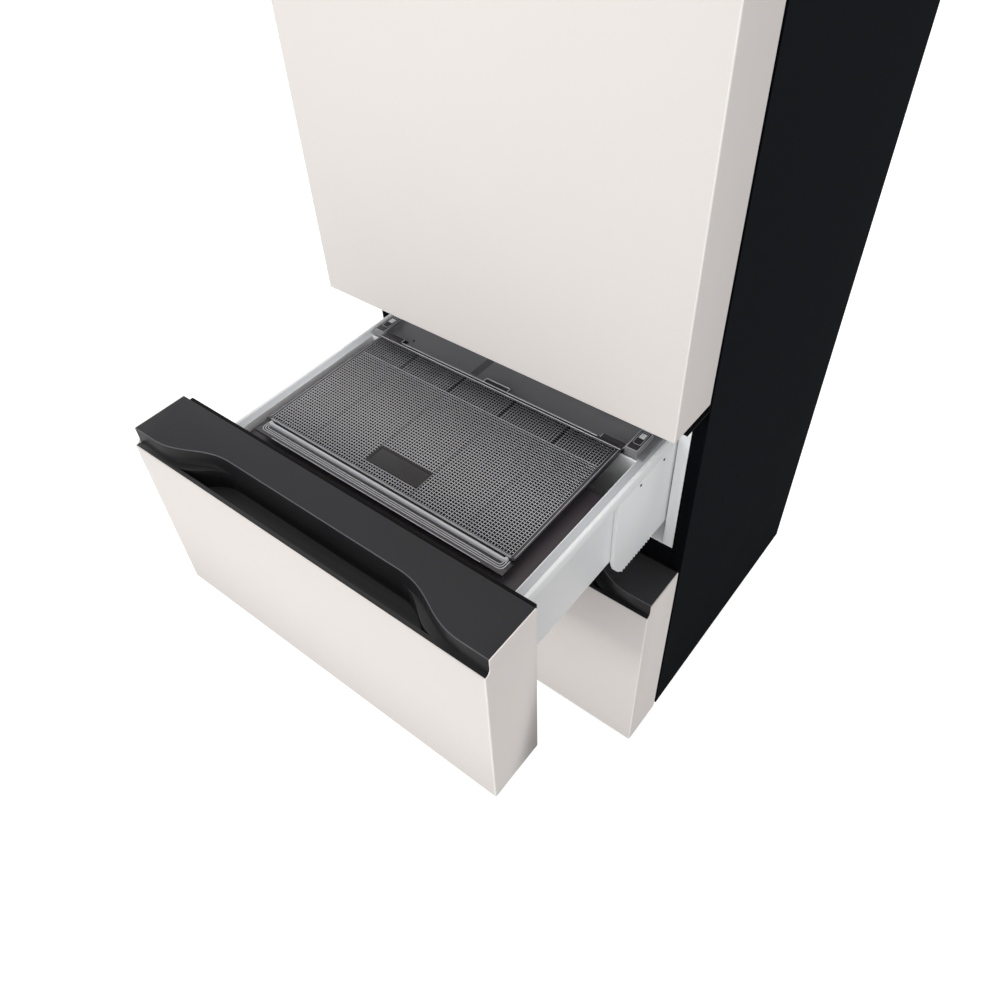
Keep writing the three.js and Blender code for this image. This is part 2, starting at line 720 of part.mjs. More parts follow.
function circulationFan() {
  const piece = mesh('circulation_fan', fanSolid(AIR_FAN_RADIUS), LOOKS.darkPlastic);
  piece.rotation.x = Math.PI / 2;
  piece.position.set(0, airMotorY + MOTOR_BRACKET / 2 - fanOffset, airFanHeight);
  return piece;
}

// A row of upright fins on level tubes, between two corners
function finnedCoil(x0, x1, y0, y1, z0, z1) {
  const step = (x1 - x0 - FIN_THICKNESS) / (FIN_COUNT - 1);
  const fins = Array.from({ length: FIN_COUNT }, (_, index) => {
    const left = x0 + step * index;
    return box(left, left + FIN_THICKNESS, y0, y1, z0, z1);
  });
  const middle = (y0 + y1) / 2;
  const rows = [0.25, 0.75].map((share) => rod(
    COIL_TUBE_RADIUS, x0 - COIL_TUBE_RADIUS, x1 + COIL_TUBE_RADIUS, alongX,
    new THREE.Vector3(0, middle, z0 + share * (z1 - z0)), 6,
  ));
  return join(...fins, ...rows);
}

function evaporator() {
  const low = upperSpace.floor + COIL_RISE;
  const back = innerBack - CLEARANCE;
  const coilHalf = mouthHalf - COIL_SIDE_GAP;
  const coil = finnedCoil(-coilHalf, coilHalf, back - COIL_DEPTH, back, low, low + COIL_HEIGHT);
  return mesh('evaporator', coil, LOOKS.aluminium);
}

function shelf(index) {
  const low = shelfHeight(SHELF_RISES[index]) + CLEARANCE;
  const high = low + SHELF_GLASS;
  const plate = centredBox(mouthHalf - SHELF_SIDE_GAP, SHELF_FRONT, airFront - CLEARANCE, low, high);
  return mesh(`upper_shelf_${index + 1}`, plate, LOOKS.clearGlass);
}

// ---------------------------------------------------------------- machine compartment

const machineMiddleY = machineFront + MACHINE_DEPTH / 2;
const compressorX = COMPRESSOR_INSET - half;
const condenserX = half - CONDENSER_INSET;
const inletX = half - INLET_INSET;
const machineCoverY = DEPTH - MACHINE_COVER_INSET - BASE_SHEET;

function compressor() {
  const centre = new THREE.Vector3(compressorX, machineMiddleY, 0);
  const low = baseTop + CLEARANCE;
  const shoulder = COMPRESSOR_SHOULDER;
  const high = low + COMPRESSOR_HEIGHT;
  const can = turned([
    [0, low + PAST], [COMPRESSOR_RADIUS - shoulder, low + PAST], [COMPRESSOR_RADIUS, low + shoulder],
    [COMPRESSOR_RADIUS, high - shoulder], [COMPRESSOR_RADIUS - shoulder, high], [0, high],
  ], alongZ, centre, 24);
  const plate = box(
    centre.x - COMPRESSOR_PLATE_HALF, centre.x + COMPRESSOR_PLATE_HALF,
    centre.y - COMPRESSOR_PLATE_HALF_DEPTH, centre.y + COMPRESSOR_PLATE_HALF_DEPTH,
    low, low + COMPRESSOR_PLATE,
  );
  return mesh('compressor', join(can, plate), LOOKS.compressorSteel);
}

const machineFanHeight = baseTop + MACHINE_FAN_RISE;
const machineMotorX = MACHINE_FAN_X + fanOffset;

// Finned coil with the post that carries the fan's motor
function condenser() {
  const left = condenserX - CONDENSER_WIDTH / 2;
  const right = condenserX + CONDENSER_WIDTH / 2;
  const low = baseTop + CLEARANCE;
  const coil = finnedCoil(
    left, right, machineMiddleY - CONDENSER_DEPTH / 2, machineMiddleY + CONDENSER_DEPTH / 2,
    low, low + CONDENSER_HEIGHT,
  );
  const postHalf = BRACKET_WIDTH / 2;
  const postLow = low + PAST;
  const post = cut(
    box(
      machineMotorX, left + FIN_THICKNESS / 2, machineMiddleY - postHalf, machineMiddleY + postHalf,
      postLow, machineFanHeight + postHalf,
    ),
    box(
      machineMotorX + MOTOR_BRACKET, left + FIN_THICKNESS, machineMiddleY - postHalf - PAST,
      machineMiddleY + postHalf + PAST, postLow + MOTOR_BRACKET, machineFanHeight + postHalf + PAST,
    ),
  );
  const back = new THREE.Vector3(-1, 0, 0);
  const seat = new THREE.Vector3(machineMotorX + MOTOR_BRACKET / 2, machineMiddleY, machineFanHeight);
  const motor = motorSolid(back, seat);
  return mesh('condenser', join(coil, post, motor), LOOKS.aluminium);
}

function condenserFan() {
  const piece = mesh('condenser_fan', fanSolid(MACHINE_FAN_RADIUS), LOOKS.darkPlastic);
  piece.rotation.y = Math.PI / 2;
  piece.position.set(machineMotorX + MOTOR_BRACKET / 2 - fanOffset, machineMiddleY, machineFanHeight);
  return piece;
}

// Pan for melt water, beside the compressor and in front of the fan
function drainPan() {
  const left = compressorX - DRAIN_PAN_WIDTH / 2;
  const right = compressorX + DRAIN_PAN_WIDTH / 2;
  const back = machineMiddleY - COMPRESSOR_RADIUS - CLEARANCE;
  const front = machineFront + CLEARANCE;
  const low = baseTop + CLEARANCE;
  const wall = DRAIN_PAN_WALL;
  const high = low + DRAIN_PAN_HEIGHT;
  const hollow = box(left + wall, right - wall, front + wall, back - wall, low + wall, high + PAST);
  const pan = cut(box(left, right, front, back, low, high), hollow);
  return mesh('drain_pan', pan, LOOKS.darkPlastic);
}

const inletHeight = baseTop + INLET_RISE;

// Sheet over the back of the machine compartment, with vents and the hole for the cord gland
function machineCover() {
  const sheet = centredBox(
    innerHalf - MACHINE_SIDE_WALL - CLEARANCE, machineCoverY, machineCoverY + BASE_SHEET,
    baseTop + CLEARANCE, machineTop - 2 * CLEARANCE,
  );
  const ventLow = baseTop + (MACHINE_HEIGHT - VENT_PITCH * VENT_COUNT) / 2;
  const vents = [-1, 1].flatMap((side) => Array.from({ length: VENT_COUNT }, (_, index) => {
    const low = ventLow + VENT_PITCH * index;
    const centre = side * (VENT_WIDTH + VENT_MIDDLE_GAP) / 2;
    return box(
      centre - VENT_WIDTH / 2, centre + VENT_WIDTH / 2,
      machineCoverY - PAST, machineCoverY + BASE_SHEET + PAST, low, low + VENT_HEIGHT,
    );
  }));
  const hole = rod(
    INLET_RADIUS + CLEARANCE, machineCoverY - PAST, machineCoverY + BASE_SHEET + PAST, alongY,
    new THREE.Vector3(inletX, 0, inletHeight), 16,
  );
  return mesh('machine_cover', cut(sheet, ...vents, hole), LOOKS.zincSteel);
}

// Grommet through the machine cover where the mains cord leaves
function powerInlet() {
  const inside = machineCoverY - CLEARANCE;
  const outside = machineCoverY + BASE_SHEET + CLEARANCE;
  const profile = [
    [INLET_BORE, inside - INLET_LIP], [INLET_FLANGE, inside - INLET_LIP],
    [INLET_FLANGE, inside], [INLET_RADIUS, inside], [INLET_RADIUS, outside], [INLET_FLANGE, outside],
    [INLET_FLANGE, outside + INLET_LIP], [INLET_BORE, outside + INLET_LIP], [INLET_BORE, inside - INLET_LIP],
  ];
  const grommet = turned(profile, alongY, new THREE.Vector3(inletX, 0, inletHeight), 16);
  return mesh('power_inlet', grommet, LOOKS.greyRubber);
}

// ---------------------------------------------------------------- seals and fronts

// Square ring seal on the back of a front, from one height to another
function gasket(name, low, high) {
  const outerHalf = half - GASKET_INSET;
  const front = FRONT_THICKNESS + CLEARANCE;
  const back = cabinetFront - CLEARANCE;
  const ring = cut(
    centredBox(outerHalf, front, back, low, high),
    centredBox(outerHalf - GASKET_WIDTH, front - PAST, back + PAST, low + GASKET_WIDTH, high - GASKET_WIDTH),
  );
  return mesh(name, ring, LOOKS.greyRubber);
}

// An outline in plan that runs from a straight front edge back to a level middle, with an S-curve at each end
function scoopOutline(front, end, endHalf, middle) {
  const bend = (endHalf - gripFlatHalf) * GRIP_EASE;
  const outline = new THREE.Shape();
  outline.moveTo(-endHalf, end);
  outline.bezierCurveTo(
    bend - endHalf, end, -gripFlatHalf - bend, middle, -gripFlatHalf, middle,
  );
  outline.lineTo(gripFlatHalf, middle);
  outline.bezierCurveTo(gripFlatHalf + bend, middle, endHalf - bend, end, endHalf, end);
  if (front < end) {
    outline.lineTo(half, end);
    outline.lineTo(half, front);
    outline.lineTo(-half, front);
    outline.lineTo(-half, end);
  }
  outline.closePath();
  return outline;
}

// Dark cap along the top of a drawer front: its top edge is drawn back above a pocket for the fingers
function frontCap(name, top) {
  const side = half - FRONT_SKIN - CLEARANCE;
  const edge = top - CAP_HEIGHT;
  const block = centredBox(side, FRONT_SKIN + CLEARANCE, FRONT_THICKNESS, top - CAP_BODY_HEIGHT, top);
  const brow = scoopOutline(-PAST, CHEEK_SETBACK, gripEndHalf, GRIP_SETBACK);
  const scoop = prismAlongZ(brow, edge, top + PAST, GRIP_STEPS);
  const pocket = prismAlongZ(
    scoopOutline(GRIP_STRIP, GRIP_STRIP, gripPocketHalf, GRIP_SETBACK), top - GRIP_DEPTH, edge + PAST,
    GRIP_STEPS,
  );
  return mesh(name, cut(block, scoop, pocket), LOOKS.darkPlastic);
}

// Cream skin of a drawer front: face, underside and two cheeks notched at the front top corner
function frontPanel(name, bottom, top) {
  const edge = top - CAP_HEIGHT;
  const back = FRONT_THICKNESS;
  const notch = CHEEK_SETBACK - FRONT_SKIN;
  const cheek = new THREE.Shape();
  cheek.moveTo(0, bottom);
  cheek.lineTo(back, bottom);
  cheek.lineTo(back, top);
  cheek.lineTo(CHEEK_SETBACK, top);
  cheek.lineTo(CHEEK_SETBACK, edge + notch);
  cheek.absarc(FRONT_SKIN, edge + notch, notch, 0, -Math.PI / 2, true);
  cheek.lineTo(0, edge);
  cheek.closePath();
  const inside = half - FRONT_SKIN;
  const panel = cut(
    prismAlongX(cheek, -half, half),
    centredBox(inside, FRONT_SKIN, back + PAST, bottom + FRONT_SKIN, top + PAST),
    centredBox(inside, -1, back + PAST, edge, top + PAST),
  );
  return mesh(name, panel, LOOKS.creamSteel);
}

// Flat panel that closes the back of a drawer front below its cap
function innerPanel(name, bottom, top) {
  const side = half - FRONT_SKIN - CLEARANCE;
  const panel = centredBox(
    side, FRONT_THICKNESS - INNER_PANEL, FRONT_THICKNESS,
    bottom + FRONT_SKIN + CLEARANCE, top - CAP_BODY_HEIGHT - CLEARANCE,
  );
  return mesh(name, panel, LOOKS.whitePlastic);
}

// ---------------------------------------------------------------- drawer boxes

const boxFront = FRONT_THICKNESS + CLEARANCE;
const frontWellBack = boxFront + BOX_WALL + FRONT_WELL_DEPTH;
const rearWellFront = frontWellBack + WELL_DIVIDER;

// Open box with a wide rim, split by a divider into a deep front well and a rear well
function drawerBox(name, frontTop) {
  const rimTop = frontTop - RIM_DROP;
  const bottom = frontTop - BOX_BOTTOM_DROP;
  const inside = boxHalf - BOX_WALL;
  const rimInside = rimHalf - RIM_WIDTH;
  const underRim = [[-rimHalf - PAST, -boxHalf], [boxHalf, rimHalf + PAST]].map(([from, to]) => box(
    from, to, boxFront - PAST, boxBack + PAST, bottom - PAST, rimTop - RIM_HEIGHT,
  ));
  const outer = cut(centredBox(rimHalf, boxFront, boxBack, bottom, rimTop), ...underRim);
  const wells = [[boxFront + BOX_WALL, frontWellBack], [rearWellFront, boxBack - BOX_WALL]];
  const hollows = wells.flatMap(([from, to]) => [
    centredBox(inside, from, to, bottom + BOX_WALL, rimTop - RIM_HEIGHT + BOX_WALL),
    centredBox(rimInside, from, to, bottom + BOX_WALL, rimTop + PAST),
  ]);
  return mesh(name, cut(outer, ...hollows), LOOKS.whitePlastic);
}

// ---------------------------------------------------------------- rails, carriages and pinions

function rail(name, space, side) {
  const outer = mouthHalf - CLEARANCE;
  const inner = outer - RAIL_THICKNESS;
  const high = space.frontTop - RAIL_DROP;
  const front = cabinetFront + LINER_WALL * 2;
  const strip = box(
    Math.min(side * inner, side * outer), Math.max(side * inner, side * outer),
    front, innerBack - RAIL_BACK_GAP, high - RAIL_HEIGHT, high,
  );
  return mesh(name, strip, LOOKS.zincSteel);
}

// Side plate whose nose is cut back below, with rack teeth along the deep part's lower edge
function carriageOutline(frontTop) {
  const top = frontTop - RIM_DROP - RIM_HEIGHT - CLEARANCE;
  const tip = frontTop - RACK_TIP_DROP;
  const root = tip + rackAddendum + rackDedendum;
  const shallow = frontTop - BOX_BOTTOM_DROP;
  const deepEnd = CARRIAGE_NOSE + pitch * (rackTeeth + 0.5);
  const pitchHalf = pitch / 4 - BACKLASH / 2;
  const tipHalf = pitchHalf - rackAddendum * Math.tan(PRESSURE_ANGLE);
  const rootHalf = pitchHalf + rackDedendum * Math.tan(PRESSURE_ANGLE);
  const outline = new THREE.Shape();
  outline.moveTo(0, top);
  outline.lineTo(0, tip + NOSE_RISE);
  outline.quadraticCurveTo(NOSE_BEND_Y, tip + NOSE_BEND_Z, CARRIAGE_NOSE, root);
  for (let tooth = 0; tooth < rackTeeth; tooth += 1) {
    const centre = CARRIAGE_NOSE + pitch * (tooth + 0.5);
    outline.lineTo(centre - rootHalf, root);
    outline.lineTo(centre - tipHalf, tip);
    outline.lineTo(centre + tipHalf, tip);
    outline.lineTo(centre + rootHalf, root);
  }
  outline.lineTo(deepEnd, root);
  outline.lineTo(deepEnd, shallow);
  outline.lineTo(carriageLength, shallow);
  outline.lineTo(carriageLength, top);
  outline.closePath();
  return outline;
}

// Carriage plate with the shoe that rides on the fixed rail
function carriage(name, space, side) {
  const plate = prismAlongX(
    carriageOutline(space.frontTop),
    side < 0 ? -carriageOuter : carriageInner, side < 0 ? -carriageInner : carriageOuter,
  );
  const low = space.frontTop - RAIL_DROP + CLEARANCE;
  const tipX = mouthHalf - 2 * CLEARANCE;
  const root = carriageOuter - PAST;
  const shoe = box(
    Math.min(side * root, side * tipX), Math.max(side * root, side * tipX),
    carriageLength - SHOE_INSET - SHOE_LENGTH, carriageLength - SHOE_INSET, low, low + SHOE_HEIGHT,
  );
  const piece = mesh(name, join(plate, shoe), LOOKS.whitePlastic);
  piece.position.y = carriageFront;
  return piece;
}

// Half the angle that a pinion tooth spans at a radius, from its involute
function toothHalfAngle(radius) {
  const involute = (angle) => Math.tan(angle) - angle;
  const baseRadius = pitchRadius * Math.cos(PRESSURE_ANGLE);
  const angle = Math.acos(Math.min(1, baseRadius / radius));
  const pitchHalf = pitch / 4 - BACKLASH / 2;
  return pitchHalf / pitchRadius + involute(PRESSURE_ANGLE) - involute(angle);
}

// Pinion outline about the origin with one tooth at the given lean from straight up
function pinionOutline(lean) {
  const root = pitchRadius - rackDedendum;
  const base = pitchRadius * Math.cos(PRESSURE_ANGLE);
  const radii = [root, base, pitchRadius + GEAR_MODULE * PINION_ADDENDUM];
  const flank = radii.map((radius) => [radius, toothHalfAngle(radius)]);
  const points = Array.from({ length: PINION_TEETH }, (_, tooth) => {
    const centre = Math.PI / 2 - lean + 2 * Math.PI * tooth / PINION_TEETH;
    const rising = flank.map(([radius, spread]) => [radius, centre - spread]);
    const falling = flank.map(([radius, spread]) => [radius, centre + spread]).reverse();
    return [...rising, ...falling];
  }).flat();
  return new THREE.Shape(points.map(([radius, angle]) => new THREE.Vector2(
    radius * Math.cos(angle), radius * Math.sin(angle),
  )));
}

// Shaft with a pinion under each carriage, turned so that its teeth sit in the rack's gaps
function pinionShaft(name, space, shift) {
  const reach = pinionY - carriageFront - shift - CARRIAGE_NOSE;
  const gap = Math.round(reach / pitch) * pitch;
  const lean = (gap - reach) / pitchRadius;
  const outline = pinionOutline(lean);
  const pinions = [
    prismAlongX(outline, -carriageOuter, -carriageInner),
    prismAlongX(outline, carriageInner, carriageOuter),
  ];
  const reachX = mouthHalf - 2 * CLEARANCE;
  const shaft = rod(SHAFT_RADIUS, -reachX, reachX, alongX, new THREE.Vector3(), 12);
  const piece = mesh(name, join(shaft, ...pinions), LOOKS.gearPlastic);
  piece.position.set(0, pinionY, pinionHeight(space));
  return piece;
}

// ---------------------------------------------------------------- middle drawer's lids and tubs

const rimTop = middleTop - RIM_DROP;
const lidBack = rearWellFront;
const lidFront = lidBack - LID_LENGTH;
const plateTop = rimTop + CLEARANCE + REAR_PLATE;
const lidTop = plateTop + LID_SKIRT;
const lidPivotY = lidBack + LID_TAB_LENGTH / 2;
const lidPivotZ = lidTop - LID_SKIRT / 2;
const tabOuter = lidHalf + LID_TAB_OUTSET;
const earInner = tabOuter + CLEARANCE;

// Smoked cover with a skirt, a lower lip in front and two tabs that carry the hinge pins
function meshLid() {
  const low = plateTop + CLEARANCE;
  const lipBack = lidFront + LID_FRONT_LIP;
  const back = lidBack - CLEARANCE;
  const shell = cut(
    centredBox(lidHalf, lidFront, back, low, lidTop),
    centredBox(
      lidHalf - LID_PLATE, lipBack + LID_PLATE, back - LID_PLATE, low - PAST, lidTop - LID_PLATE,
    ),
    centredBox(lidHalf + PAST, lidFront - PAST, lipBack, lidTop - LID_LIP_DROP, lidTop + PAST),
  );
  const tabHalf = LID_PIN_RADIUS + LID_TAB_WALL;
  const tabs = [-1, 1].map((side) => box(
    Math.min(side * tabOuter, side * (tabOuter - LID_TAB_WIDTH)),
    Math.max(side * tabOuter, side * (tabOuter - LID_TAB_WIDTH)),
    lidBack - LID_PLATE, lidPivotY + LID_PIN_RADIUS + LID_TAB_END, lidPivotZ - tabHalf, lidPivotZ + tabHalf,
  ));
  const reach = tabOuter + LID_PIN_LENGTH;
  const pins = [[-reach, PAST - tabOuter], [tabOuter - PAST, reach]].map(([from, to]) => rod(
    LID_PIN_RADIUS, from, to, alongX, new THREE.Vector3(0, lidPivotY, lidPivotZ), 12,
  ));
  return mesh('mesh_lid', join(shell, ...tabs, ...pins), LOOKS.smokedPlastic);
}

// Plain plate in the lid, near its front edge
function labelPlate() {
  const front = lidFront + LABEL_SETBACK;
  const low = lidTop + CLEARANCE;
  const plate = centredBox(LABEL_WIDTH / 2, front, front + LABEL_DEPTH, low, low + LABEL_THICKNESS);
  return mesh('lid_label_plate', plate, LOOKS.darkPlastic);
}

// Smooth cover over the rear well; its two ears hold the mesh lid's pins
function rearPlate() {
  const front = lidBack + CLEARANCE;
  const low = rimTop + CLEARANCE;
  const plate = centredBox(rimHalf - REAR_PLATE_INSET, front, boxBack, low, plateTop);
  const notchInner = tabOuter - LID_TAB_WIDTH - NOTCH_GAP;
  const notches = [-1, 1].map((side) => box(
    Math.min(side * notchInner, side * earInner), Math.max(side * notchInner, side * earInner),
    front - PAST, lidPivotY + LID_PIN_RADIUS + NOTCH_DEPTH, low - PAST, plateTop + PAST,
  ));
  const earOuter = earInner + EAR_WIDTH;
  const ears = [-1, 1].map((side) => box(
    Math.min(side * earInner, side * earOuter), Math.max(side * earInner, side * earOuter),
    front + PAST, front + EAR_LENGTH, low + PAST, low + EAR_HEIGHT,
  ));
  const bore = rod(
    LID_PIN_RADIUS + CLEARANCE, -tabOuter - LID_PIN_LENGTH - PAST, tabOuter + LID_PIN_LENGTH + PAST, alongX,
    new THREE.Vector3(0, lidPivotY, lidPivotZ), 12,
  );
  const shape = cut(join(cut(plate, ...notches), ...ears), bore);
  return mesh('rear_plate', shape, LOOKS.smokedPlastic);
}

const tubFront = boxFront + BOX_WALL + TUB_FRONT_GAP;
const tubLow = middleTop - BOX_BOTTOM_DROP + BOX_WALL + CLEARANCE;

function tubSides(side, inset) {
  const near = TUB_MIDDLE_GAP + inset;
  const far = boxHalf - BOX_WALL - TUB_SIDE_GAP - inset;
  return side < 0 ? [-far, -near] : [near, far];
}

function tub(name, side) {
  const [left, right] = tubSides(side, 0);
  const wall = TUB_WALL;
  const back = tubFront + TUB_DEPTH;
  const high = tubLow + TUB_HEIGHT;
  const shape = cut(
    box(left, right, tubFront, back, tubLow, high),
    box(left + wall, right - wall, tubFront + wall, back - wall, tubLow + wall, high + PAST),
  );
  return mesh(name, shape, LOOKS.tubPlastic);
}

// Lid with a plug that drops into the tub
function tubLid(name, side) {
  const [left, right] = tubSides(side, 0);
  const [plugLeft, plugRight] = tubSides(side, TUB_WALL + CLEARANCE);
  const low = tubLow + TUB_HEIGHT + CLEARANCE;
  const inset = TUB_WALL + CLEARANCE;
  const back = tubFront + TUB_DEPTH;
  const shape = join(
    box(left, right, tubFront, back, low, low + TUB_LID / 2),
    box(plugLeft, plugRight, tubFront + inset, back - inset, low - TUB_LID / 2, low + PAST),
  );
  return mesh(name, shape, LOOKS.tubPlastic);
}

// ---------------------------------------------------------------- door

const gripHigh = doorBottom + DOOR_GRIP_RISE + DOOR_GRIP_HEIGHT;
const gripLow = doorBottom + DOOR_GRIP_RISE;
const gripBack = FRONT_THICKNESS - DOOR_LINER - CLEARANCE;
const gripFront = gripBack - DOOR_GRIP_WIDTH;

// Cream pan: face, two sides, top and bottom, open at the back
function doorPanel() {
  const skin = FRONT_SKIN;
  const pan = cut(
    centredBox(half, 0, FRONT_THICKNESS, doorBottom, doorTop),
    centredBox(half - skin, skin, FRONT_THICKNESS + PAST, doorBottom + skin, doorTop - skin),
  );
  const bore = rod(PIN_BORE, doorBottom - PAST, doorTop + PAST, alongZ, new THREE.Vector3(pivotX, pivotY, 0));
  const gripHole = box(
    -half - PAST, skin + PAST - half, gripFront - CLEARANCE, gripBack + CLEARANCE,
    gripLow - CLEARANCE, gripHigh + CLEARANCE,
  );
  return mesh('door_panel', cut(pan, bore, gripHole), LOOKS.creamSteel);
}

// Dark trough let into the door's free side
function doorGrip() {
  const wall = DOOR_GRIP_WALL;
  const left = -half;
  const right = DOOR_GRIP_DEPTH - half;
  const shape = cut(
    box(left, right, gripFront, gripBack, gripLow, gripHigh),
    box(left - PAST, right - wall, gripFront + wall, gripBack - wall, gripLow + wall, gripHigh - wall),
  );
  return mesh('door_grip', shape, LOOKS.darkPlastic);
}

const ribLow = upperSpace.floor + DOOR_RIB_END;
const ribHigh = upperSpace.ceiling - DOOR_RIB_END;

// White panel that closes the door's back, with two upright ribs that hold the bins
function doorLiner() {
  const inset = FRONT_SKIN + CLEARANCE;
  const plate = centredBox(
    half - inset, FRONT_THICKNESS - DOOR_LINER, FRONT_THICKNESS, doorBottom + inset, doorTop - inset,
  );
  const ribs = [-1, 1].map((side) => box(
    Math.min(side * ribHalf, side * (ribHalf - DOOR_RIB_WIDTH)),
    Math.max(side * ribHalf, side * (ribHalf - DOOR_RIB_WIDTH)),
    FRONT_THICKNESS - PAST, FRONT_THICKNESS + DOOR_RIB_DEPTH, ribLow, ribHigh,
  ));
  return mesh('door_liner', join(plate, ...ribs), LOOKS.whitePlastic);
}

function doorBin(index) {
  const side = ribHalf - DOOR_RIB_WIDTH - CLEARANCE;
  const front = FRONT_THICKNESS + CLEARANCE;
  const low = upperSpace.floor + BIN_RISES[index];
  const wall = BIN_WALL;
  const shape = cut(
    centredBox(side, front, front + BIN_DEPTH, low, low + BIN_HEIGHT),
    centredBox(side - wall, front + wall, front + BIN_DEPTH - wall, low + wall, low + BIN_HEIGHT + PAST),
  );
  return mesh(`door_bin_${index + 1}`, shape, LOOKS.whitePlastic);
}

// ---------------------------------------------------------------- assembly

const SIDES = [['left', -1], ['right', 1]];

function cabinetGroup() {
  const group = new THREE.Group();
  group.add(cabinetShell(), backPanel(), basePan(), insulationFoam());
  group.add(upperLiner(), drawerLiner('middle_liner', middleSpace), drawerLiner('lower_liner', lowerSpace));
  group.add(...beams.map(crossbeam));
  group.add(topHinge(), middleHinge(), hingeCover());
  group.add(compressor(), condenser(), drainPan(), machineCover(), powerInlet());
  group.add(evaporatorCover(), evaporator(), ...SHELF_RISES.map((_, index) => shelf(index)));
  for (const [word, side] of SIDES) {
    group.add(rail(`middle_rail_${word}`, middleSpace, side), rail(`lower_rail_${word}`, lowerSpace, side));
    group.add(foot(`front_foot_${word}`, side * footX), roller(`rear_roller_${word}`, side * rollerX));
  }
  group.add(circulationFan(), condenserFan());
  return group;
}

function doorGroup() {
  const group = new THREE.Group();
  group.add(doorPanel(), doorLiner(), doorGrip());
  group.add(gasket('door_gasket', doorBottom + GASKET_INSET, doorTop - GASKET_INSET));
  group.add(...BIN_RISES.map((_, index) => doorBin(index)));
  return group;
}

// A drawer front with its box; the seal reaches from just below the mouth to the cap
function drawerGroup(word, space, bottom) {
  const group = new THREE.Group();
  const top = space.frontTop;
  group.add(frontPanel(`${word}_front_panel`, bottom, top), frontCap(`${word}_front_cap`, top));
  group.add(innerPanel(`${word}_inner_panel`, bottom, top));
  group.add(gasket(`${word}_gasket`, space.floor - GASKET_DROP, top - GASKET_INSET));
  group.add(drawerBox(`${word}_box`, top));
  return group;
}

// Both carriages of a drawer and the pinion shaft below them, with the drawer open by the given travel
function runningGear(word, space, travel) {
  const shift = -travel / 2;
  const carriages = new THREE.Group();
  carriages.add(...SIDES.map(([handed, side]) => carriage(`${word}_carriage_${handed}`, space, side)));
  carriages.position.y = shift;
  return [carriages, pinionShaft(`${word}_pinion_shaft`, space, shift)];
}

const middleDrawer = drawerGroup('middle', middleSpace, middleBottom);
middleDrawer.add(meshLid(), labelPlate(), rearPlate());
for (const [word, side] of SIDES) {
  middleDrawer.add(tub(`tub_${word}`, side), tubLid(`tub_lid_${word}`, side));
}
middleDrawer.position.y = -drawerTravel;

const refrigerator = new THREE.Group();
refrigerator.add(cabinetGroup(), doorGroup(), middleDrawer, drawerGroup('lower', lowerSpace, lowerBottom));
refrigerator.add(...runningGear('middle', middleSpace, drawerTravel));
refrigerator.add(...runningGear('lower', lowerSpace, 0));

// The origin is on the floor, midway between the open drawer's face and the cabinet's back
refrigerator.position.y = (drawerTravel - DEPTH) / 2;

export default refrigerator;
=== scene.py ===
# %% [markdown]
# # A kimchi refrigerator, dressed over its CAD frame
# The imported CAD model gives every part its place. This script gives the parts their rounded edges, their
# fine mouldings and their finishes. Lengths are written in millimetres from the closed fronts (Y), the
# middle plane (X) and the ground (Z), which is how such a cabinet is drawn, and are turned to metres once.

import json
import math

import bmesh
import bpy
from mathutils import Matrix, Vector


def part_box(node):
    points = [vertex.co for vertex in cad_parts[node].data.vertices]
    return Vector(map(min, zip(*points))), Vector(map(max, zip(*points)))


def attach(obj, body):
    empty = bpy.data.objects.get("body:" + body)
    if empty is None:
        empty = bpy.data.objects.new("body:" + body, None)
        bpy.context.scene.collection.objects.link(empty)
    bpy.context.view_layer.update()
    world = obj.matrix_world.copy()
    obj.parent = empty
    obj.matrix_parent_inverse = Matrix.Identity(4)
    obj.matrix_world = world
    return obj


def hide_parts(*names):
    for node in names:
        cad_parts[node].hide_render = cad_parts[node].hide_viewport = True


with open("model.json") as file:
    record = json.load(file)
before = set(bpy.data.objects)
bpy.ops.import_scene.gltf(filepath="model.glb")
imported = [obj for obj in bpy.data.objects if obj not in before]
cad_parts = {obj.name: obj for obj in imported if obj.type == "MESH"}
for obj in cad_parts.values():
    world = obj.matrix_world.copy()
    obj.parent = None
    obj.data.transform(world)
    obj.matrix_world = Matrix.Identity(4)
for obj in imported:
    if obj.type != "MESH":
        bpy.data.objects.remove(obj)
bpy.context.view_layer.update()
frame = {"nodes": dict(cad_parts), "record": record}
MM = 0.001
FRONT_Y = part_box("door_panel")[0].y
OPEN = (FRONT_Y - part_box("middle_front_panel")[0].y) / MM

# %% [markdown]
# ## Camera
# A wide lens near the door's right edge looks down into the open drawer. The place and the turn come from
# fitting a pinhole camera to the cabinet's corners, so that every edge falls where the photograph has it.
# A matrix is used and not angles, because the fit gives the three axes directly.

# %% Camera
RIGHT = Vector((0.78894428, 0.61344548, -0.03537739))
DOWN = Vector((0.4259768, -0.58752098, -0.68801371))
AHEAD = Vector((-0.44284386, 0.52773454, -0.72483486))
lens = bpy.data.cameras.new("camera")
lens.lens = 30.717
lens.sensor_width = 36.0
lens.shift_y = -0.01
lens.clip_start = 0.02
camera = bpy.data.objects.new("camera", lens)
turn = Matrix((RIGHT, -DOWN, -AHEAD)).transposed()
camera.matrix_world = Matrix.Translation((0.68459, -0.92964, 1.67395)) @ turn.to_4x4()
bpy.context.scene.collection.objects.link(camera)
bpy.context.scene.camera = camera
print("camera at", tuple(round(v, 3) for v in camera.matrix_world.translation))

# %% [markdown]
# ## One helper for nodes and one for colours
# Shader and geometry trees are both lists of nodes with settings and links. One function adds any of them:
# an input that is given another node's socket is linked, and anything else is set as a value. `output` does
# the same and hands back the node's first output, which is all that most nodes are asked for, and `maths`
# and `shape` are short for a sum and for a geometry node. Colours are noted as they look on a screen (sRGB)
# and turned to the linear values that light is computed with.

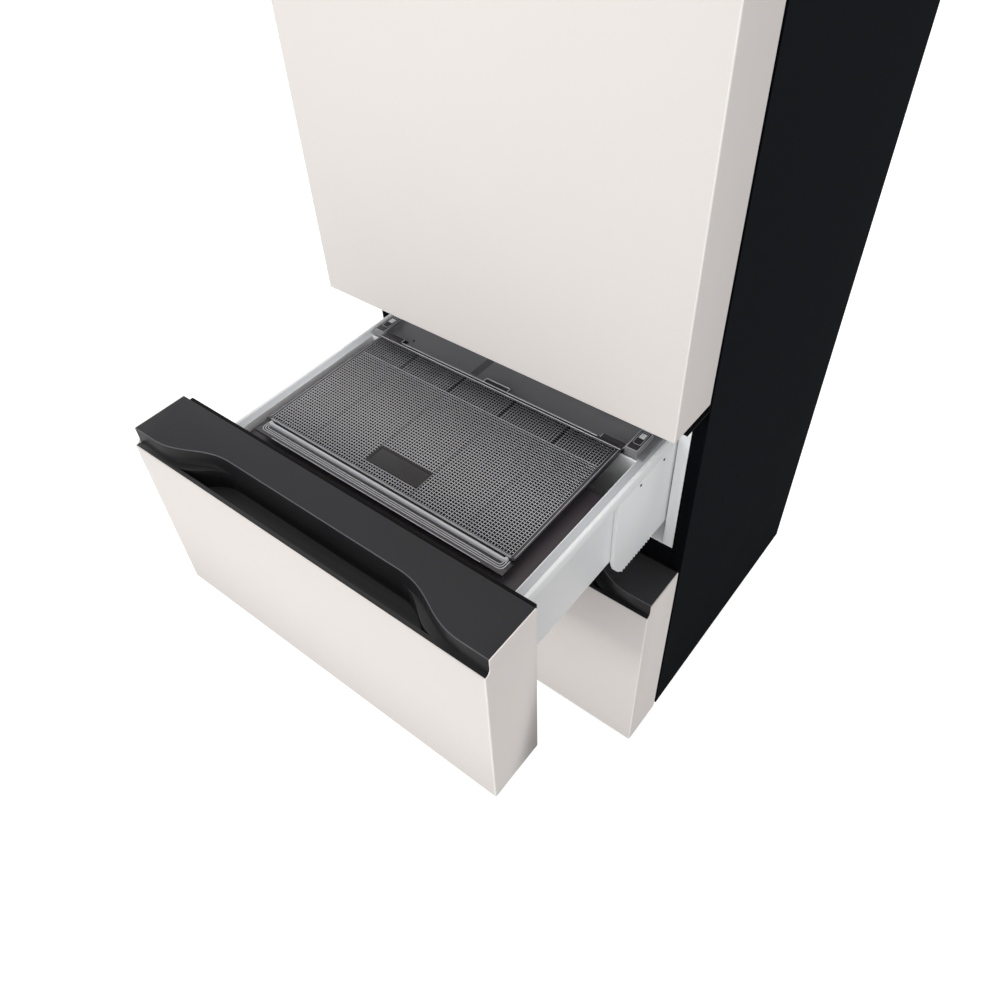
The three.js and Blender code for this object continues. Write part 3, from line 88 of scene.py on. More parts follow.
# %% Nodes and colours
def add(tree, kind, inputs=None, **settings):
    node = tree.nodes.new(kind)
    for name, value in settings.items():
        setattr(node, name, value)
    for name, value in (inputs or {}).items():
        if isinstance(value, bpy.types.NodeSocket):
            tree.links.new(value, node.inputs[name])
        else:
            node.inputs[name].default_value = value
    return node


def output(tree, kind, inputs=None, **settings):
    return add(tree, kind, inputs, **settings).outputs[0]


def maths(tree, operation, a, b):
    return output(tree, "ShaderNodeMath", {0: a, 1: b}, operation=operation)


def shape(tree, kind, inputs=None, **settings):
    return output(tree, f"GeometryNode{kind}", inputs, **settings)


def linear(code):
    parts = [int(code[i:i + 2], 16) / 255 for i in (0, 2, 4)]
    return tuple(v / 12.92 if v <= 0.04045 else ((v + 0.055) / 1.055) ** 2.4 for v in parts) + (1.0,)


# %% [markdown]
# ## Studio
# The photograph is a cut-out on white, so the floor glows, but only for the camera, and the light is soft:
# a dome that is brightest in front on the left, which makes the fronts brighter than their right sides, a
# far panel whose narrow beam reaches the door above the drawer, and a weak panel overhead. The Standard
# view keeps colours as they are noted.

# %% Floor, dome and panels
WHITE = (1.0, 1.0, 1.0, 1.0)
FLOOR_GLOW = 0.8
FLOOR_HALF = 9
scene = bpy.context.scene
scene.view_settings.view_transform = "Standard"

paper = bpy.data.materials.new("pale_studio_paper")
paper.use_nodes = True
paper_shader = paper.node_tree.nodes["Principled BSDF"]
paper_shader.inputs["Base Color"].default_value = linear("C8C8C8")
paper_shader.inputs["Roughness"].default_value = 0.9
paper_shader.inputs["Emission Color"].default_value = WHITE
looked_at = add(paper.node_tree, "ShaderNodeLightPath").outputs["Is Camera Ray"]
glow = maths(paper.node_tree, "MULTIPLY", looked_at, FLOOR_GLOW)
paper.node_tree.links.new(glow, paper_shader.inputs["Emission Strength"])
floor_mesh = bpy.data.meshes.new("studio_floor")
floor_corners = [(x * FLOOR_HALF, y * FLOOR_HALF, 0) for x, y in ((-1, -1), (1, -1), (1, 1), (-1, 1))]
floor_mesh.from_pydata(floor_corners, [], [(0, 1, 2, 3)])
floor_mesh.materials.append(paper)
floor = bpy.data.objects.new("studio_floor", floor_mesh)
scene.collection.objects.link(floor)

dome = bpy.data.worlds.new("soft_dome")
dome.use_nodes = True
dome_tree = dome.node_tree
TO_LIGHT = Vector((-0.35, -0.65, 0.12)).normalized()
DIM_SIDE, BRIGHT_SIDE = 0.55, 1.17
facing = add(dome_tree, "ShaderNodeVectorMath", {
    0: add(dome_tree, "ShaderNodeTexCoord").outputs["Generated"], 1: TO_LIGHT}, operation="DOT_PRODUCT")
soft = output(dome_tree, "ShaderNodeMapRange", {
    "Value": facing.outputs["Value"], "From Min": -1.0, "To Min": DIM_SIDE, "To Max": BRIGHT_SIDE})
seen = add(dome_tree, "ShaderNodeLightPath").outputs["Is Camera Ray"]
background = dome_tree.nodes["Background"]
dome_tree.links.new(maths(dome_tree, "MAXIMUM", soft, seen), background.inputs["Strength"])
background.inputs["Color"].default_value = WHITE
scene.world = dome


def panel_light(name, place, aim, size, power, spread):
    data = bpy.data.lights.new(name, "AREA")
    data.shape = "SQUARE"
    data.size = size
    data.energy = power
    data.spread = math.radians(spread)
    light = bpy.data.objects.new(name, data)
    light.location = place
    light.rotation_euler = (Vector(aim) - Vector(place)).to_track_quat("-Z", "Y").to_euler()
    scene.collection.objects.link(light)


panel_light("front_left_panel", (-1.4, -4.8, 2.9), (0, 0, 1.3), size=1.6, power=2.5, spread=26)
panel_light("overhead_panel", (0.2, -1.2, 4.2), (0, -0.3, 0.5), size=2.4, power=4, spread=180)

# %% [markdown]
# ## Finishes
# Every finish starts from its material and from how the surface was made. Under a soft light three things
# tell them apart: the colour, how sharp the reflections are, and the grain. `finish` lays these down on the
# piece's own coordinates: slow drifts in tone, patches of gloss, and a fine relief whose grain is given in
# millimetres. A grain finer than about half a millimetre would vanish in the picture, so it is drawn coarser.

# %% The finish maker
SHADER_INPUTS = {"specular": "Specular IOR Level", "transmission": "Transmission Weight", "ior": "IOR",
                 "metallic": "Metallic"}


def finish(name, code, roughness, grain=1.0, relief=0.006, drift=0.05, drift_size=90.0, patch=0.05, **shader):
    material = bpy.data.materials.new(name)
    material.use_nodes = True
    tree = material.node_tree
    base = tree.nodes["Principled BSDF"]
    where = add(tree, "ShaderNodeTexCoord").outputs["Object"]
    slow = output(tree, "ShaderNodeTexNoise", {
        "Vector": where, "Scale": 1 / (drift_size * MM), "Detail": 2.0})
    dark, light = (
        tuple(min(1.0, v * part) for v in linear(code)[:3]) + (1.0,) for part in (1 - drift, 1 + drift))
    tone = add(tree, "ShaderNodeMix", {"Factor": slow, 6: dark, 7: light}, data_type="RGBA").outputs[2]
    sheen = output(tree, "ShaderNodeMapRange", {
        "Value": slow, "From Min": 0.3, "From Max": 0.7,
        "To Min": max(0.02, roughness - patch), "To Max": min(1.0, roughness + patch)})
    fine = output(tree, "ShaderNodeTexNoise", {"Vector": where, "Scale": 1 / (grain * MM), "Detail": 3.0})
    bump = output(tree, "ShaderNodeBump", {"Height": fine, "Distance": relief * MM})
    for label, value in (("Base Color", tone), ("Roughness", sheen), ("Normal", bump)):
        tree.links.new(value, base.inputs[label])
    for label, value in shader.items():
        base.inputs[SHADER_INPUTS[label]].default_value = value
    return material


# %% [markdown]
# The fronts are steel sheet with a warm white powder coat, whose melted grains leave a faint orange peel
# about 2 mm across. The cabinet is the pre-painted black sheet of most refrigerators, nearly matte, with a
# faint pressed grain. Its wide sides get a lighter copy of the same paint as painted sheen, and its frame
# keeps the darker one as painted shade. To the light both are plastics, because the paint covers the metal.
# Their specular level is far below the usual 0.5, since at a grazing angle the white studio would otherwise
# wash them out.

# %% Painted steels
cream_powder_coat = finish("cream_powder_coated_steel", "EAE4E0", 0.42, grain=2.2, drift=0.008, specular=0.01)
black_prepainted = finish(
    "black_prepainted_steel", "0F1013", 0.65, grain=1.4, relief=0.012, drift=0.06, drift_size=160,
    specular=0.001)
# The lighter copy of the black paint, for the cabinet's wide sides, is painted sheen.
black_steel_painted_sheen_sides = finish(
    "black_prepainted_steel_painted_sheen_sides", "1F2124", 0.65, grain=1.4, relief=0.012, drift=0.04, drift_size=160,
    specular=0.001)
# The lighter cream on the rounded folds is a painted highlight.
cream_painted_fold_highlight = finish("cream_coat_painted_fold_highlight", "FBF8F4", 0.3, grain=2.2, relief=0.003, drift=0.005)
black_enamel = finish("black_enamelled_compressor", "101113", 0.28, grain=3.0, relief=0.02, drift=0.1)

# %% [markdown]
# Mouldings differ in their polish. The caps are ABS from a spark-eroded tool, so they are even and satin on
# top and glossier inside the grip, where their darker colour is painted shade, and their rounded top edge
# gets a lighter finish as a painted highlight. The box and the liners are high-impact polystyrene, brighter
# and smoother. The lid and the rear cover are smoked clear polystyrene: mostly dark, with sharp reflections,
# letting a little of what lies below through.

# %% Plastics
dark_abs = finish("dark_moulded_abs", "373739", 0.46, grain=0.7, relief=0.008, drift=0.04, specular=0.06)
# The darker colour of the plastic inside the grip is painted shade.
grip_abs_painted_shade = finish("dark_abs_grip_painted_shade", "19191B", 0.36, grain=0.7, drift=0.04, specular=0.45)
# The lighter grey on the cap's rounded top edge is a painted highlight.
abs_painted_edge_highlight = finish("dark_abs_painted_edge_highlight", "4A4A4E", 0.3, grain=1.5, relief=0.004, drift=0.04)
white_hips = finish(
    "white_moulded_polystyrene", "F8F9FA", 0.36, grain=4.0, relief=0.001, drift=0.006, patch=0.015)
# The grey on the flat of a box's rim is painted shade; the shelf rails share the finish.
grey_hips_and_painted_rim_shade = finish(
    "pale_grey_polystyrene_and_painted_rim_shade", "C3C6CA", 0.42, grain=4.0, relief=0.0006, drift=0.004, patch=0.005)
smoked_clear = finish(
    "smoked_clear_polystyrene", "1C1C1F", 0.16, grain=9.0, relief=0.01, drift=0.06, patch=0.03,
    transmission=0.25, ior=1.59)
smoked_cover = finish(
    "smoked_polystyrene_cover", "8E8E91", 0.24, grain=9.0, relief=0.01, patch=0.03,
    transmission=0.1, ior=1.59)
smoked_border = finish("smoked_polystyrene_over_mauve", "454246", 0.2, grain=9.0, relief=0.004, patch=0.03)
smoked_seam = finish("smoked_polystyrene_over_a_seam", "69686C", 0.24, grain=9.0, patch=0.03)
# The darker smoked rib finish is painted shade where it covers the rear bay's lattice.
smoked_rib_and_painted_shade = finish("smoked_polystyrene_rib_and_painted_shade", "9A9B9F", 0.25, grain=3.0, relief=0.004)
# The near-white rib finish is a painted highlight on the clear ribs, beads and edges.
clear_rib_painted_highlight = finish(
    "clear_polystyrene_rib_painted_highlight", "D6D7DB", 0.2, grain=3.0, relief=0.004, transmission=0.15, ior=1.59)
# Black for the floor between the lattice bars and for the rear bay's seams: painted shadow.
lid_shadow = finish("black_lid_floor_painted_shadow", "0B0B0D", 0.5, grain=2.0, relief=0.004, drift=0.1, specular=0.1)
tub_polypropylene = finish("dark_mauve_polypropylene", "453F44", 0.36, grain=1.2, relief=0.008)
label_acrylic = finish("dark_acrylic_plate", "1C1C1E", 0.16, grain=2.0, relief=0.003, drift=0.03)
acetal_gear = finish("moulded_acetal_gear", "E4E2DA", 0.4, grain=0.8, drift=0.02)
seal_rubber = finish(
    "extruded_soft_pvc_seal", "0C0C0E", 0.6, grain=0.6, relief=0.012, drift=0.08, specular=0.1)

# %% [markdown]
# Bare metals keep the default index of refraction and are told apart by their roughness. Zinc-dipped sheet
# shows spangle, crystals about 9 mm across that each reflect a little differently, so a Voronoi pattern
# drives its roughness. Rolled aluminium fins and zinc-plated screws are plain and satin, and the hinge in
# the middle is chromated black.

# %% Metals
CRYSTAL = 9.0
aluminium_fin = finish("rolled_aluminium_fin", "B9BDC1", 0.34, grain=0.8, drift=0.03, metallic=1.0)
zinc_plate = finish("zinc_plated_steel", "A6A9AC", 0.33, grain=0.9, drift=0.06, metallic=1.0)
black_chromate = finish("black_chromated_steel", "121314", 0.5, grain=0.9, drift=0.06, specular=0.05)
copper_tube = finish("drawn_copper_tube", "B87A5A", 0.3, grain=1.5, drift=0.08, metallic=1.0)
spangled_zinc = finish("hot_dip_zinc_sheet", "9FA3A6", 0.4, grain=2.0, relief=0.01, drift=0.03, metallic=1.0)
zinc_tree = spangled_zinc.node_tree
crystal = add(zinc_tree, "ShaderNodeTexVoronoi", {
    "Vector": add(zinc_tree, "ShaderNodeTexCoord").outputs["Object"], "Scale": 1 / (CRYSTAL * MM)})
spangle = output(zinc_tree, "ShaderNodeMapRange", {
    "Value": crystal.outputs["Color"], "To Min": 0.26, "To Max": 0.5})
zinc_tree.links.new(spangle, zinc_tree.nodes["Principled BSDF"].inputs["Roughness"])

# %% [markdown]
# The shelves are tempered glass with a slight green, and the insulation is rigid polyurethane foam, whose
# cells and flow lines make a coarse matte relief. Paper-yellow foam only shows inside the machine space.

# %% Glass and foam
tempered_glass = finish(
    "tempered_shelf_glass", "D4E4DF", 0.04, grain=40, relief=0.002, drift=0.01, patch=0.01,
    transmission=0.9, ior=1.52)
polyurethane_foam = finish("rigid_polyurethane_foam", "D6C48A", 0.92, grain=3.0, relief=0.5, drift=0.12)
print(len(bpy.data.materials), "finishes")

# %% [markdown]
# ## Placing pieces
# `at` turns a drawn point into a point of the frame, moved out by as much as its drawer stands open (only
# the middle one does), and `drawn` turns a depth of the frame back. The next three say where a node of the
# frame starts, ends and reaches up to, in drawn millimetres. `place` makes an object of a mesh, gives it its
# material, hides the CAD parts it stands for and hands it to the body that carries it: most of the finer
# pieces ride on the cabinet. Smoothing by angle keeps flats flat.

# %% Place a mesh
OPEN_BY = {"middle_drawer": OPEN, "drawer_lid": OPEN}
ZINC, ALUMINIUM, WHITE_PLASTIC = (("cabinet", slot) for slot in ("zinc_steel", "aluminium", "white_plastic"))


def at(x, y, z, open_by=0.0):
    return Vector((x * MM, FRONT_Y + (y - open_by) * MM, z * MM))


def drawn(y):
    return (y - FRONT_Y) / MM


def front_of(node):
    return drawn(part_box(node)[0].y)


def back_of(node):
    return drawn(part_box(node)[1].y)


def top_of(node):
    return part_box(node)[1].z / MM


def place(name, mesh, material, body, slot, stands_for=(), smooth=30):
    if not mesh.materials:
        mesh.materials.append(material)
    else:
        mesh.materials[0] = material
    mesh.shade_smooth()
    if smooth:
        mesh.set_sharp_from_angle(angle=math.radians(smooth))
    piece = bpy.data.objects.new(name, mesh)
    scene.collection.objects.link(piece)
    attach(piece, body)
    if stands_for:
        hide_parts(*stands_for)
    return piece


# %% [markdown]
# ## Dressing a CAD part
# The CAD solids have knife edges, and real sheet and mouldings never do: it is the thin highlight along a
# rounded edge that makes them read as real. Each part is copied, its loose triangles are merged into clean
# faces, chosen edges of its outer box get a radius of their own, with a lighter finish on them as a painted
# highlight if one is given, and a Bevel modifier softens all the others. That keeps the sizes exactly as
# they are, which a subdivision surface would not.

# %% The dresser
WELD, ON_BOX = 2e-6, 1e-5
FLAT_ANGLE, EDGE_ANGLE = math.radians(0.5), math.radians(32)
body_of = {node: body for body, nodes in frame["record"]["behaviour"]["bodies"].items() for node in nodes}
slot_of = {part["node"]: part["material_slot"] for part in frame["record"]["subparts"]}


def bounding_edges(bm, planes):
    """The edges on two named sides of the mesh's own box, such as ("left", "front"), or on just one of
    them, such as ("top", "inside")."""
    low = [min(v.co[k] for v in bm.verts) for k in range(3)]
    high = [max(v.co[k] for v in bm.verts) for k in range(3)]
    sides = {"left": (0, low[0]), "right": (0, high[0]), "front": (1, low[1]), "back": (1, high[1]),
             "bottom": (2, low[2]), "top": (2, high[2])}

    def on(edge, side):
        if side == "inside":
            return sum(on(edge, other) for other in sides) == 1
        axis, value = sides[side]
        return all(abs(v.co[axis] - value) < ON_BOX for v in edge.verts)

    return [e for e in bm.edges if any(on(e, a) and on(e, b) for a, b in planes)]


def dressed(node, material, edge=0.5, corners=(), steps=2, edge_highlight=None):
    bm = bmesh.new()
    bm.from_mesh(frame["nodes"][node].data)
    bmesh.ops.remove_doubles(bm, verts=bm.verts, dist=WELD)
    bmesh.ops.dissolve_limit(bm, angle_limit=FLAT_ANGLE, verts=bm.verts, edges=bm.edges)
    for planes, radius in corners:
        made = bmesh.ops.bevel(
            bm, geom=bounding_edges(bm, planes), offset=radius * MM, segments=5, profile=0.5,
            affect="EDGES", clamp_overlap=False)
        for face in made["faces"]:
            narrow = face.calc_area() < radius * MM * max(e.calc_length() for e in face.edges)
            face.material_index = 1 if edge_highlight and narrow else 0
    mesh = bpy.data.meshes.new(f"{node}_finished")
    bm.to_mesh(mesh)
    bm.free()
    piece = place(f"{node}_finished", mesh, material, body_of[node], slot_of[node], [node], smooth=0)
    rounding = piece.modifiers.new("edges", "BEVEL")
    rounding.width = edge * MM
    rounding.segments = steps
    rounding.limit_method = "ANGLE"
    rounding.angle_limit = EDGE_ANGLE
    rounding.harden_normals = True
    # The narrow rounded faces get the lighter finish: a painted highlight.
    if edge_highlight:
        mesh.materials.append(edge_highlight)
    return piece


# %% [markdown]
# ## Door and drawer fronts
# Each front is one folded and welded steel pan. Its outer folds are about 2 mm in radius, and on the
# photograph they show as a thin bright line, so the outer box edges get that radius and the rest much less.
# Below its top skin the cap's grip gets a darker, glossier copy of its plastic, whose darker colour is
# painted shade; the rounded folds of the fronts and the top edge of each cap get a lighter finish, a painted
# highlight.

# %% Fronts
FOLD = 1.8
FRONT_EDGES = (("front", "left"), ("front", "right"), ("front", "bottom"))
SIDE_EDGES = (("front", "top"), ("left", "bottom"), ("right", "bottom"), ("left", "top"), ("right", "top"))
DOOR_FOLDS, DRAWER_FOLDS = [(FRONT_EDGES + SIDE_EDGES, FOLD)], [(FRONT_EDGES, FOLD)]
CAP_EDGE = [((("top", "inside"),), 1.2)]
CAP_SKIN = 2.0
# Fronts and caps take a lighter finish on their rounded folds and edges: a painted highlight.
dressed("door_panel", cream_powder_coat, 0.3, DOOR_FOLDS, edge_highlight=cream_painted_fold_highlight)
for word in ("middle", "lower"):
    dressed(f"{word}_front_panel", cream_powder_coat, 0.3, DRAWER_FOLDS, edge_highlight=cream_painted_fold_highlight)
    cap = dressed(f"{word}_front_cap", dark_abs, 0.7, CAP_EDGE, edge_highlight=abs_painted_edge_highlight)
    # Every face below the cap's top skin gets the grip finish, whose darker colour is painted shade.
    cap.data.materials.append(grip_abs_painted_shade)
    cap_top = max(v.co.z for v in cap.data.vertices)
    for face in cap.data.polygons:
        if face.center.z < cap_top - CAP_SKIN * MM:
            face.material_index = 2
    dressed(f"{word}_inner_panel", white_hips, 1.0)
dressed("door_liner", white_hips, 1.4, steps=3)
dressed("door_grip", dark_abs, 0.8)
for index in (1, 2):
    dressed(f"door_bin_{index}", white_hips, 1.1, [((("left", "front"), ("right", "front")), 2.0)], steps=3)

# %% [markdown]
# ## Cabinet
# The wrapped shell has a tight fold where its sides turn into the front frame. The liners are vacuum
# formed, so all their edges are soft, and the beams, hinges and rails are plain pressed steel.

# %% Cabinet parts
SIDE_AREA = 0.05
shell = dressed("cabinet_shell", black_prepainted, 0.45)
# The wide sides get the lighter copy of the black paint as painted sheen; the front frame keeps the darker copy
# as painted shade.
shell.data.materials.append(black_steel_painted_sheen_sides)
for face in shell.data.polygons:
    face.material_index = 1 if abs(face.normal.y) < 0.5 and face.area > SIDE_AREA else 0
dressed("back_panel", spangled_zinc, 0.4)
dressed("base_pan", spangled_zinc, 0.5)
frame["nodes"]["insulation_foam"].material_slots[0].material = polyurethane_foam
for word in ("upper", "middle", "lower"):
    dressed(f"{word}_liner", white_hips, 0.9)
for word in ("upper", "lower"):
    dressed(f"{word}_crossbeam", black_prepainted, 0.9)
dressed("top_hinge", zinc_plate, 0.8)
dressed("middle_hinge", black_chromate, 0.8)
dressed("hinge_cover", dark_abs, 0.9, steps=3)
for word in ("middle", "lower"):
    for side in ("left", "right"):
        dressed(f"{word}_rail_{side}", zinc_plate, 0.7)
        dressed(f"{word}_carriage_{side}", white_hips, 0.35)
    dressed(f"{word}_pinion_shaft", acetal_gear, 0.3)
dressed("drain_pan", dark_abs, 0.8)
cover = dressed("machine_cover", spangled_zinc, 0.3)
cover.modifiers.new("flat_faces", "WEIGHTED_NORMAL")
dressed("power_inlet", seal_rubber, 1.0, steps=3)
dressed("evaporator_cover", white_hips, 0.8)
for word in ("evaporator", "condenser"):
    dressed(word, aluminium_fin, 0.3)
for index in (1, 2):
    dressed(f"upper_shelf_{index}", tempered_glass, 1.2, steps=3)
for side in ("left", "right"):
    dressed(f"front_foot_{side}", dark_abs, 1.2, steps=3)
    dressed(f"rear_roller_{side}", dark_abs, 1.2, steps=3)

# %% [markdown]
# ## Drawer boxes, tubs and lids
# The boxes are injection moulded with 3 mm walls and a flat, wide rim. The tubs and their lids are softer
# polypropylene with well rounded corner posts.

# %% Boxes, tubs and lids
CORNER_POSTS = ((("left", "front"), ("right", "front"), ("left", "back"), ("right", "back")), 9.0)
for word in ("middle", "lower"):
    dressed(f"{word}_box", white_hips, 1.2, steps=3)
for side in ("left", "right"):
    dressed(f"tub_{side}", tub_polypropylene, 0.9, [CORNER_POSTS])
    dressed(f"tub_lid_{side}", tub_polypropylene, 1.3, [CORNER_POSTS], steps=3)
dressed("rear_plate", smoked_cover, 0.6)
dressed("mesh_lid", smoked_clear, 0.7)
dressed("lid_label_plate", label_acrylic, 0.3, [CORNER_POSTS[:1] + (2.0,)])

# %% [markdown]
# ## Repeats grown by geometry nodes
# Ribs, louvres, fins and lattices are one small shape many times over, so a node tree with named sizes
# makes them: change a number and the row follows. `new_tree` opens a tree with its inputs, of which the last
# is always the material, and `close_tree` ends it. `grow` runs it once, keeps the result as a plain mesh and
# leaves no modifier behind.

# %% Trees and how they are run
def new_tree(name, **inputs):
    tree = bpy.data.node_groups.new(name, "GeometryNodeTree")
    tree.interface.new_socket("Geometry", in_out="OUTPUT", socket_type="NodeSocketGeometry")
    for label, kind in {"Geometry": "Geometry", **inputs, "Material": "Material"}.items():
        tree.interface.new_socket(label.replace("_", " "), in_out="INPUT", socket_type=f"NodeSocket{kind}")
    return tree, add(tree, "NodeGroupInput").outputs


def close_tree(tree, geometry, given):
    real = shape(tree, "RealizeInstances", {"Geometry": geometry})
    painted = shape(tree, "SetMaterial", {"Geometry": real, "Material": given["Material"]})
    add(tree, "NodeGroupOutput", {"Geometry": painted})


def grow(name, tree, values, material, body, slot, edge=0.0, base=None, smooth=30):
    seed = bpy.data.objects.new(f"{name}_seed", base or bpy.data.meshes.new(f"{name}_seed"))
    scene.collection.objects.link(seed)
    growth = seed.modifiers.new("growth", "NODES")
    growth.node_group = tree
    values["Material"] = material
    for item in tree.interface.items_tree:
        if item.in_out == "INPUT" and item.name in values:
            growth[item.identifier] = values[item.name]
    if edge:
        rounding = seed.modifiers.new("edges", "BEVEL")
        rounding.width = edge * MM
        rounding.segments = 2
    bpy.context.view_layer.update()
    grown = seed.evaluated_get(bpy.context.evaluated_depsgraph_get())
    mesh = bpy.data.meshes.new_from_object(grown)
    mesh.name = name
    bpy.data.objects.remove(seed)
    return place(name, mesh, material, body, slot, smooth=smooth)


# %% [markdown]
# A row of bars: points on a line, one block on each. The Bevel of `grow` rounds the blocks afterwards.

# %% Row of bars
bar_row, given = new_tree(
    "row_of_bars", Count="Int", First="Vector", Step="Vector", Size="Vector", Turn="Vector")
line = shape(bar_row, "MeshLine", {
    "Count": given["Count"], "Start Location": given["First"], "Offset": given["Step"]}, mode="OFFSET")
block = shape(bar_row, "MeshCube", {"Size": given["Size"]})
bars = shape(bar_row, "InstanceOnPoints", {
    "Points": line, "Instance": block, "Rotation": given["Turn"]})
close_tree(bar_row, bars, given)


def row(name, count, first, step, size, material, body, slot, turn=(0, 0, 0), edge=0.0):
    values = {
        "Count": count, "First": at(*first), "Step": Vector(step) * MM, "Size": Vector(size) * MM, "Turn": turn}
    return grow(name, bar_row, values, material, body, slot, edge=edge)


# %% [markdown]
# A lattice with a bead on every cell: a grid of points carries one low bead each, and two lines of points
# carry the bars both ways. With over four thousand cells, a bead may have only a few faces.

# %% Beaded lattice
lattice, given = new_tree(
    "beaded_lattice", Columns="Int", Rows="Int", Pitch="Float", Corner="Vector", Long_Bar="Vector",
    Cross_Bar="Vector", Bead="Vector")
wide = maths(lattice, "MULTIPLY", given["Columns"], given["Pitch"])
deep = maths(lattice, "MULTIPLY", given["Rows"], given["Pitch"])
half_wide = maths(lattice, "MULTIPLY", wide, 0.5)
half_deep = maths(lattice, "MULTIPLY", deep, 0.5)


def offset(x, y):
    return output(lattice, "ShaderNodeCombineXYZ", {"X": x, "Y": y})


def moved(geometry, by):
    return shape(lattice, "Transform", {"Geometry": geometry, "Translation": by})


parts = []
for count, step, start, size in (
        ("Columns", offset(given["Pitch"], 0.0), offset(0.0, half_deep), "Long Bar"),
        ("Rows", offset(0.0, given["Pitch"]), offset(half_wide, 0.0), "Cross Bar")):
    line = shape(lattice, "MeshLine", {
        "Count": maths(lattice, "ADD", given[count], 1.0), "Start Location": start, "Offset": step},
        mode="OFFSET")
    block = shape(lattice, "MeshCube", {"Size": given[size]})
    parts.append(shape(lattice, "InstanceOnPoints", {"Points": line, "Instance": block}))
inner_wide = maths(lattice, "SUBTRACT", wide, given["Pitch"])
inner_deep = maths(lattice, "SUBTRACT", deep, given["Pitch"])
cells = shape(lattice, "MeshGrid", {
    "Size X": inner_wide, "Size Y": inner_deep, "Vertices X": given["Columns"], "Vertices Y": given["Rows"]})
half_pitch = maths(lattice, "MULTIPLY", given["Pitch"], 0.5)
centred = moved(cells, offset(half_wide, maths(lattice, "ADD", half_deep, half_pitch)))
bead = shape(lattice, "MeshIcoSphere", {"Radius": 1.0, "Subdivisions": 1})
parts.append(shape(lattice, "InstanceOnPoints", {
    "Points": centred, "Instance": bead, "Scale": given["Bead"]}))
whole = add(lattice, "GeometryNodeJoinGeometry")
for part in parts:
    lattice.links.new(part, whole.inputs[0])
close_tree(lattice, moved(whole.outputs[0], given["Corner"]), given)
print("trees:", [tree.name for tree in bpy.data.node_groups])

# %% [markdown]
# ## Mouldings swept along a path
# Beads, lips, seals and tubes keep one section along a path. A curve object with a bevel would do it too,
# but a swept mesh keeps mitred corners sharp and needs no conversion. `rounded` turns a path's corners
# into arcs, the next functions draw straight paths and sections, and `sweeps` carries each section along
# its path. `built` is the common end of all pieces that are drawn face by face.

# %% Paths and sweeps
LEAST_MITRE = 0.35
MOST_REACH = 0.49
FOOT = -0.2
CLOSED, UPRIGHT = {"closed": True}, {"up": (0, 1, 0)}


def rounded(points, radius, steps=6, closed=False):
    points = [Vector(p) for p in points]
    count = len(points)
    path = []
    for i, corner in enumerate(points):
        if not closed and i in (0, count - 1):
            path.append(corner)
            continue
        before, after = points[i - 1] - corner, points[(i + 1) % count] - corner
        reach = min(radius, before.length * MOST_REACH, after.length * MOST_REACH)
        a, b = corner + before.normalized() * reach, corner + after.normalized() * reach
        for k in range(steps + 1):
            t = k / steps
            path.append(a * (1 - t) ** 2 + corner * (2 * (1 - t) * t) + b * t ** 2)
    return path


def along_x(x0, x1, y, z):
    return [(x0, y, z), (x1, y, z)]


def along_y(x, y0, y1, z):
    return [(x, y0, z), (x, y1, z)]


def along_z(x, y, z0, z1):
    return [(x, y, z0), (x, y, z1)]


def both_sides(x, y0, y1, z, section):
    return [(along_y(side, y0, y1, z), section) for side in (-x, x)]


def strip(half, thick, under=-0.1):
    return [(-half, under), (half, under), (half, thick), (-half, thick)]


def round_section(wide, high, steps=10):
    return [(wide / 2 * math.cos(2 * math.pi * k / steps), high / 2 * math.sin(2 * math.pi * k / steps))
            for k in range(steps)]


def half_round(wide, high, steps=6):
    arc = [(-wide / 2 * math.cos(math.pi * k / steps), high * math.sin(math.pi * k / steps))
           for k in range(steps + 1)]
    return arc + [(wide / 2, FOOT), (-wide / 2, FOOT)]


def bridge(bm, rings):
    """Faces from each ring of points to the next; a ring may also be a single point."""
    for one, two in zip(rings, rings[1:]):
        for k in range(max(len(one), len(two))):
            corners = [one[k % len(one)], one[(k + 1) % len(one)], two[(k + 1) % len(two)], two[k % len(two)]]
            unique = list(dict.fromkeys(corners))
            if len(unique) > 2:
                bm.faces.new(unique)


def sweep_into(bm, path, section, up=(0, 0, 1), closed=False, open_by=0.0):
    up = Vector(up)
    path = [Vector(p) for p in path]
    count = len(path)
    rings = []
    for i, point in enumerate(path):
        ahead = (path[(i + 1) % count] - point) if closed or i < count - 1 else point - path[i - 1]
        behind = (point - path[i - 1]) if closed or i > 0 else ahead
        ahead, behind = ahead.normalized(), behind.normalized()
        along = (ahead + behind).normalized()
        side = along.cross(up).normalized()
        lift = side.cross(along).normalized()
        mitre = 1 / max(LEAST_MITRE, along.dot(ahead))
        rings.append([bm.verts.new(at(*(point + side * a * mitre + lift * b), open_by)) for a, b in section])
    bridge(bm, rings + rings[:1] if closed else rings)
    if not closed:
        bm.faces.new(rings[0])
        bm.faces.new(rings[-1])


def built(name, build, material, body, slot, stands_for=(), smooth=35):
    bm = bmesh.new()
    build(bm)
    bmesh.ops.recalc_face_normals(bm, faces=bm.faces)
    mesh = bpy.data.meshes.new(name)
    bm.to_mesh(mesh)
    bm.free()
    return place(name, mesh, material, body, slot, stands_for, smooth)


def sweeps(name, runs, material, body, slot, stands_for=()):
    """runs: (path, section) for each moulding of the piece, with settings of its sweep if it has any."""
    def build(bm):
        for path, section, *settings in runs:
            sweep_into(bm, path, section, open_by=OPEN_BY.get(body, 0.0), **dict(*settings))

    return built(name, build, material, body, slot, stands_for, smooth=40)


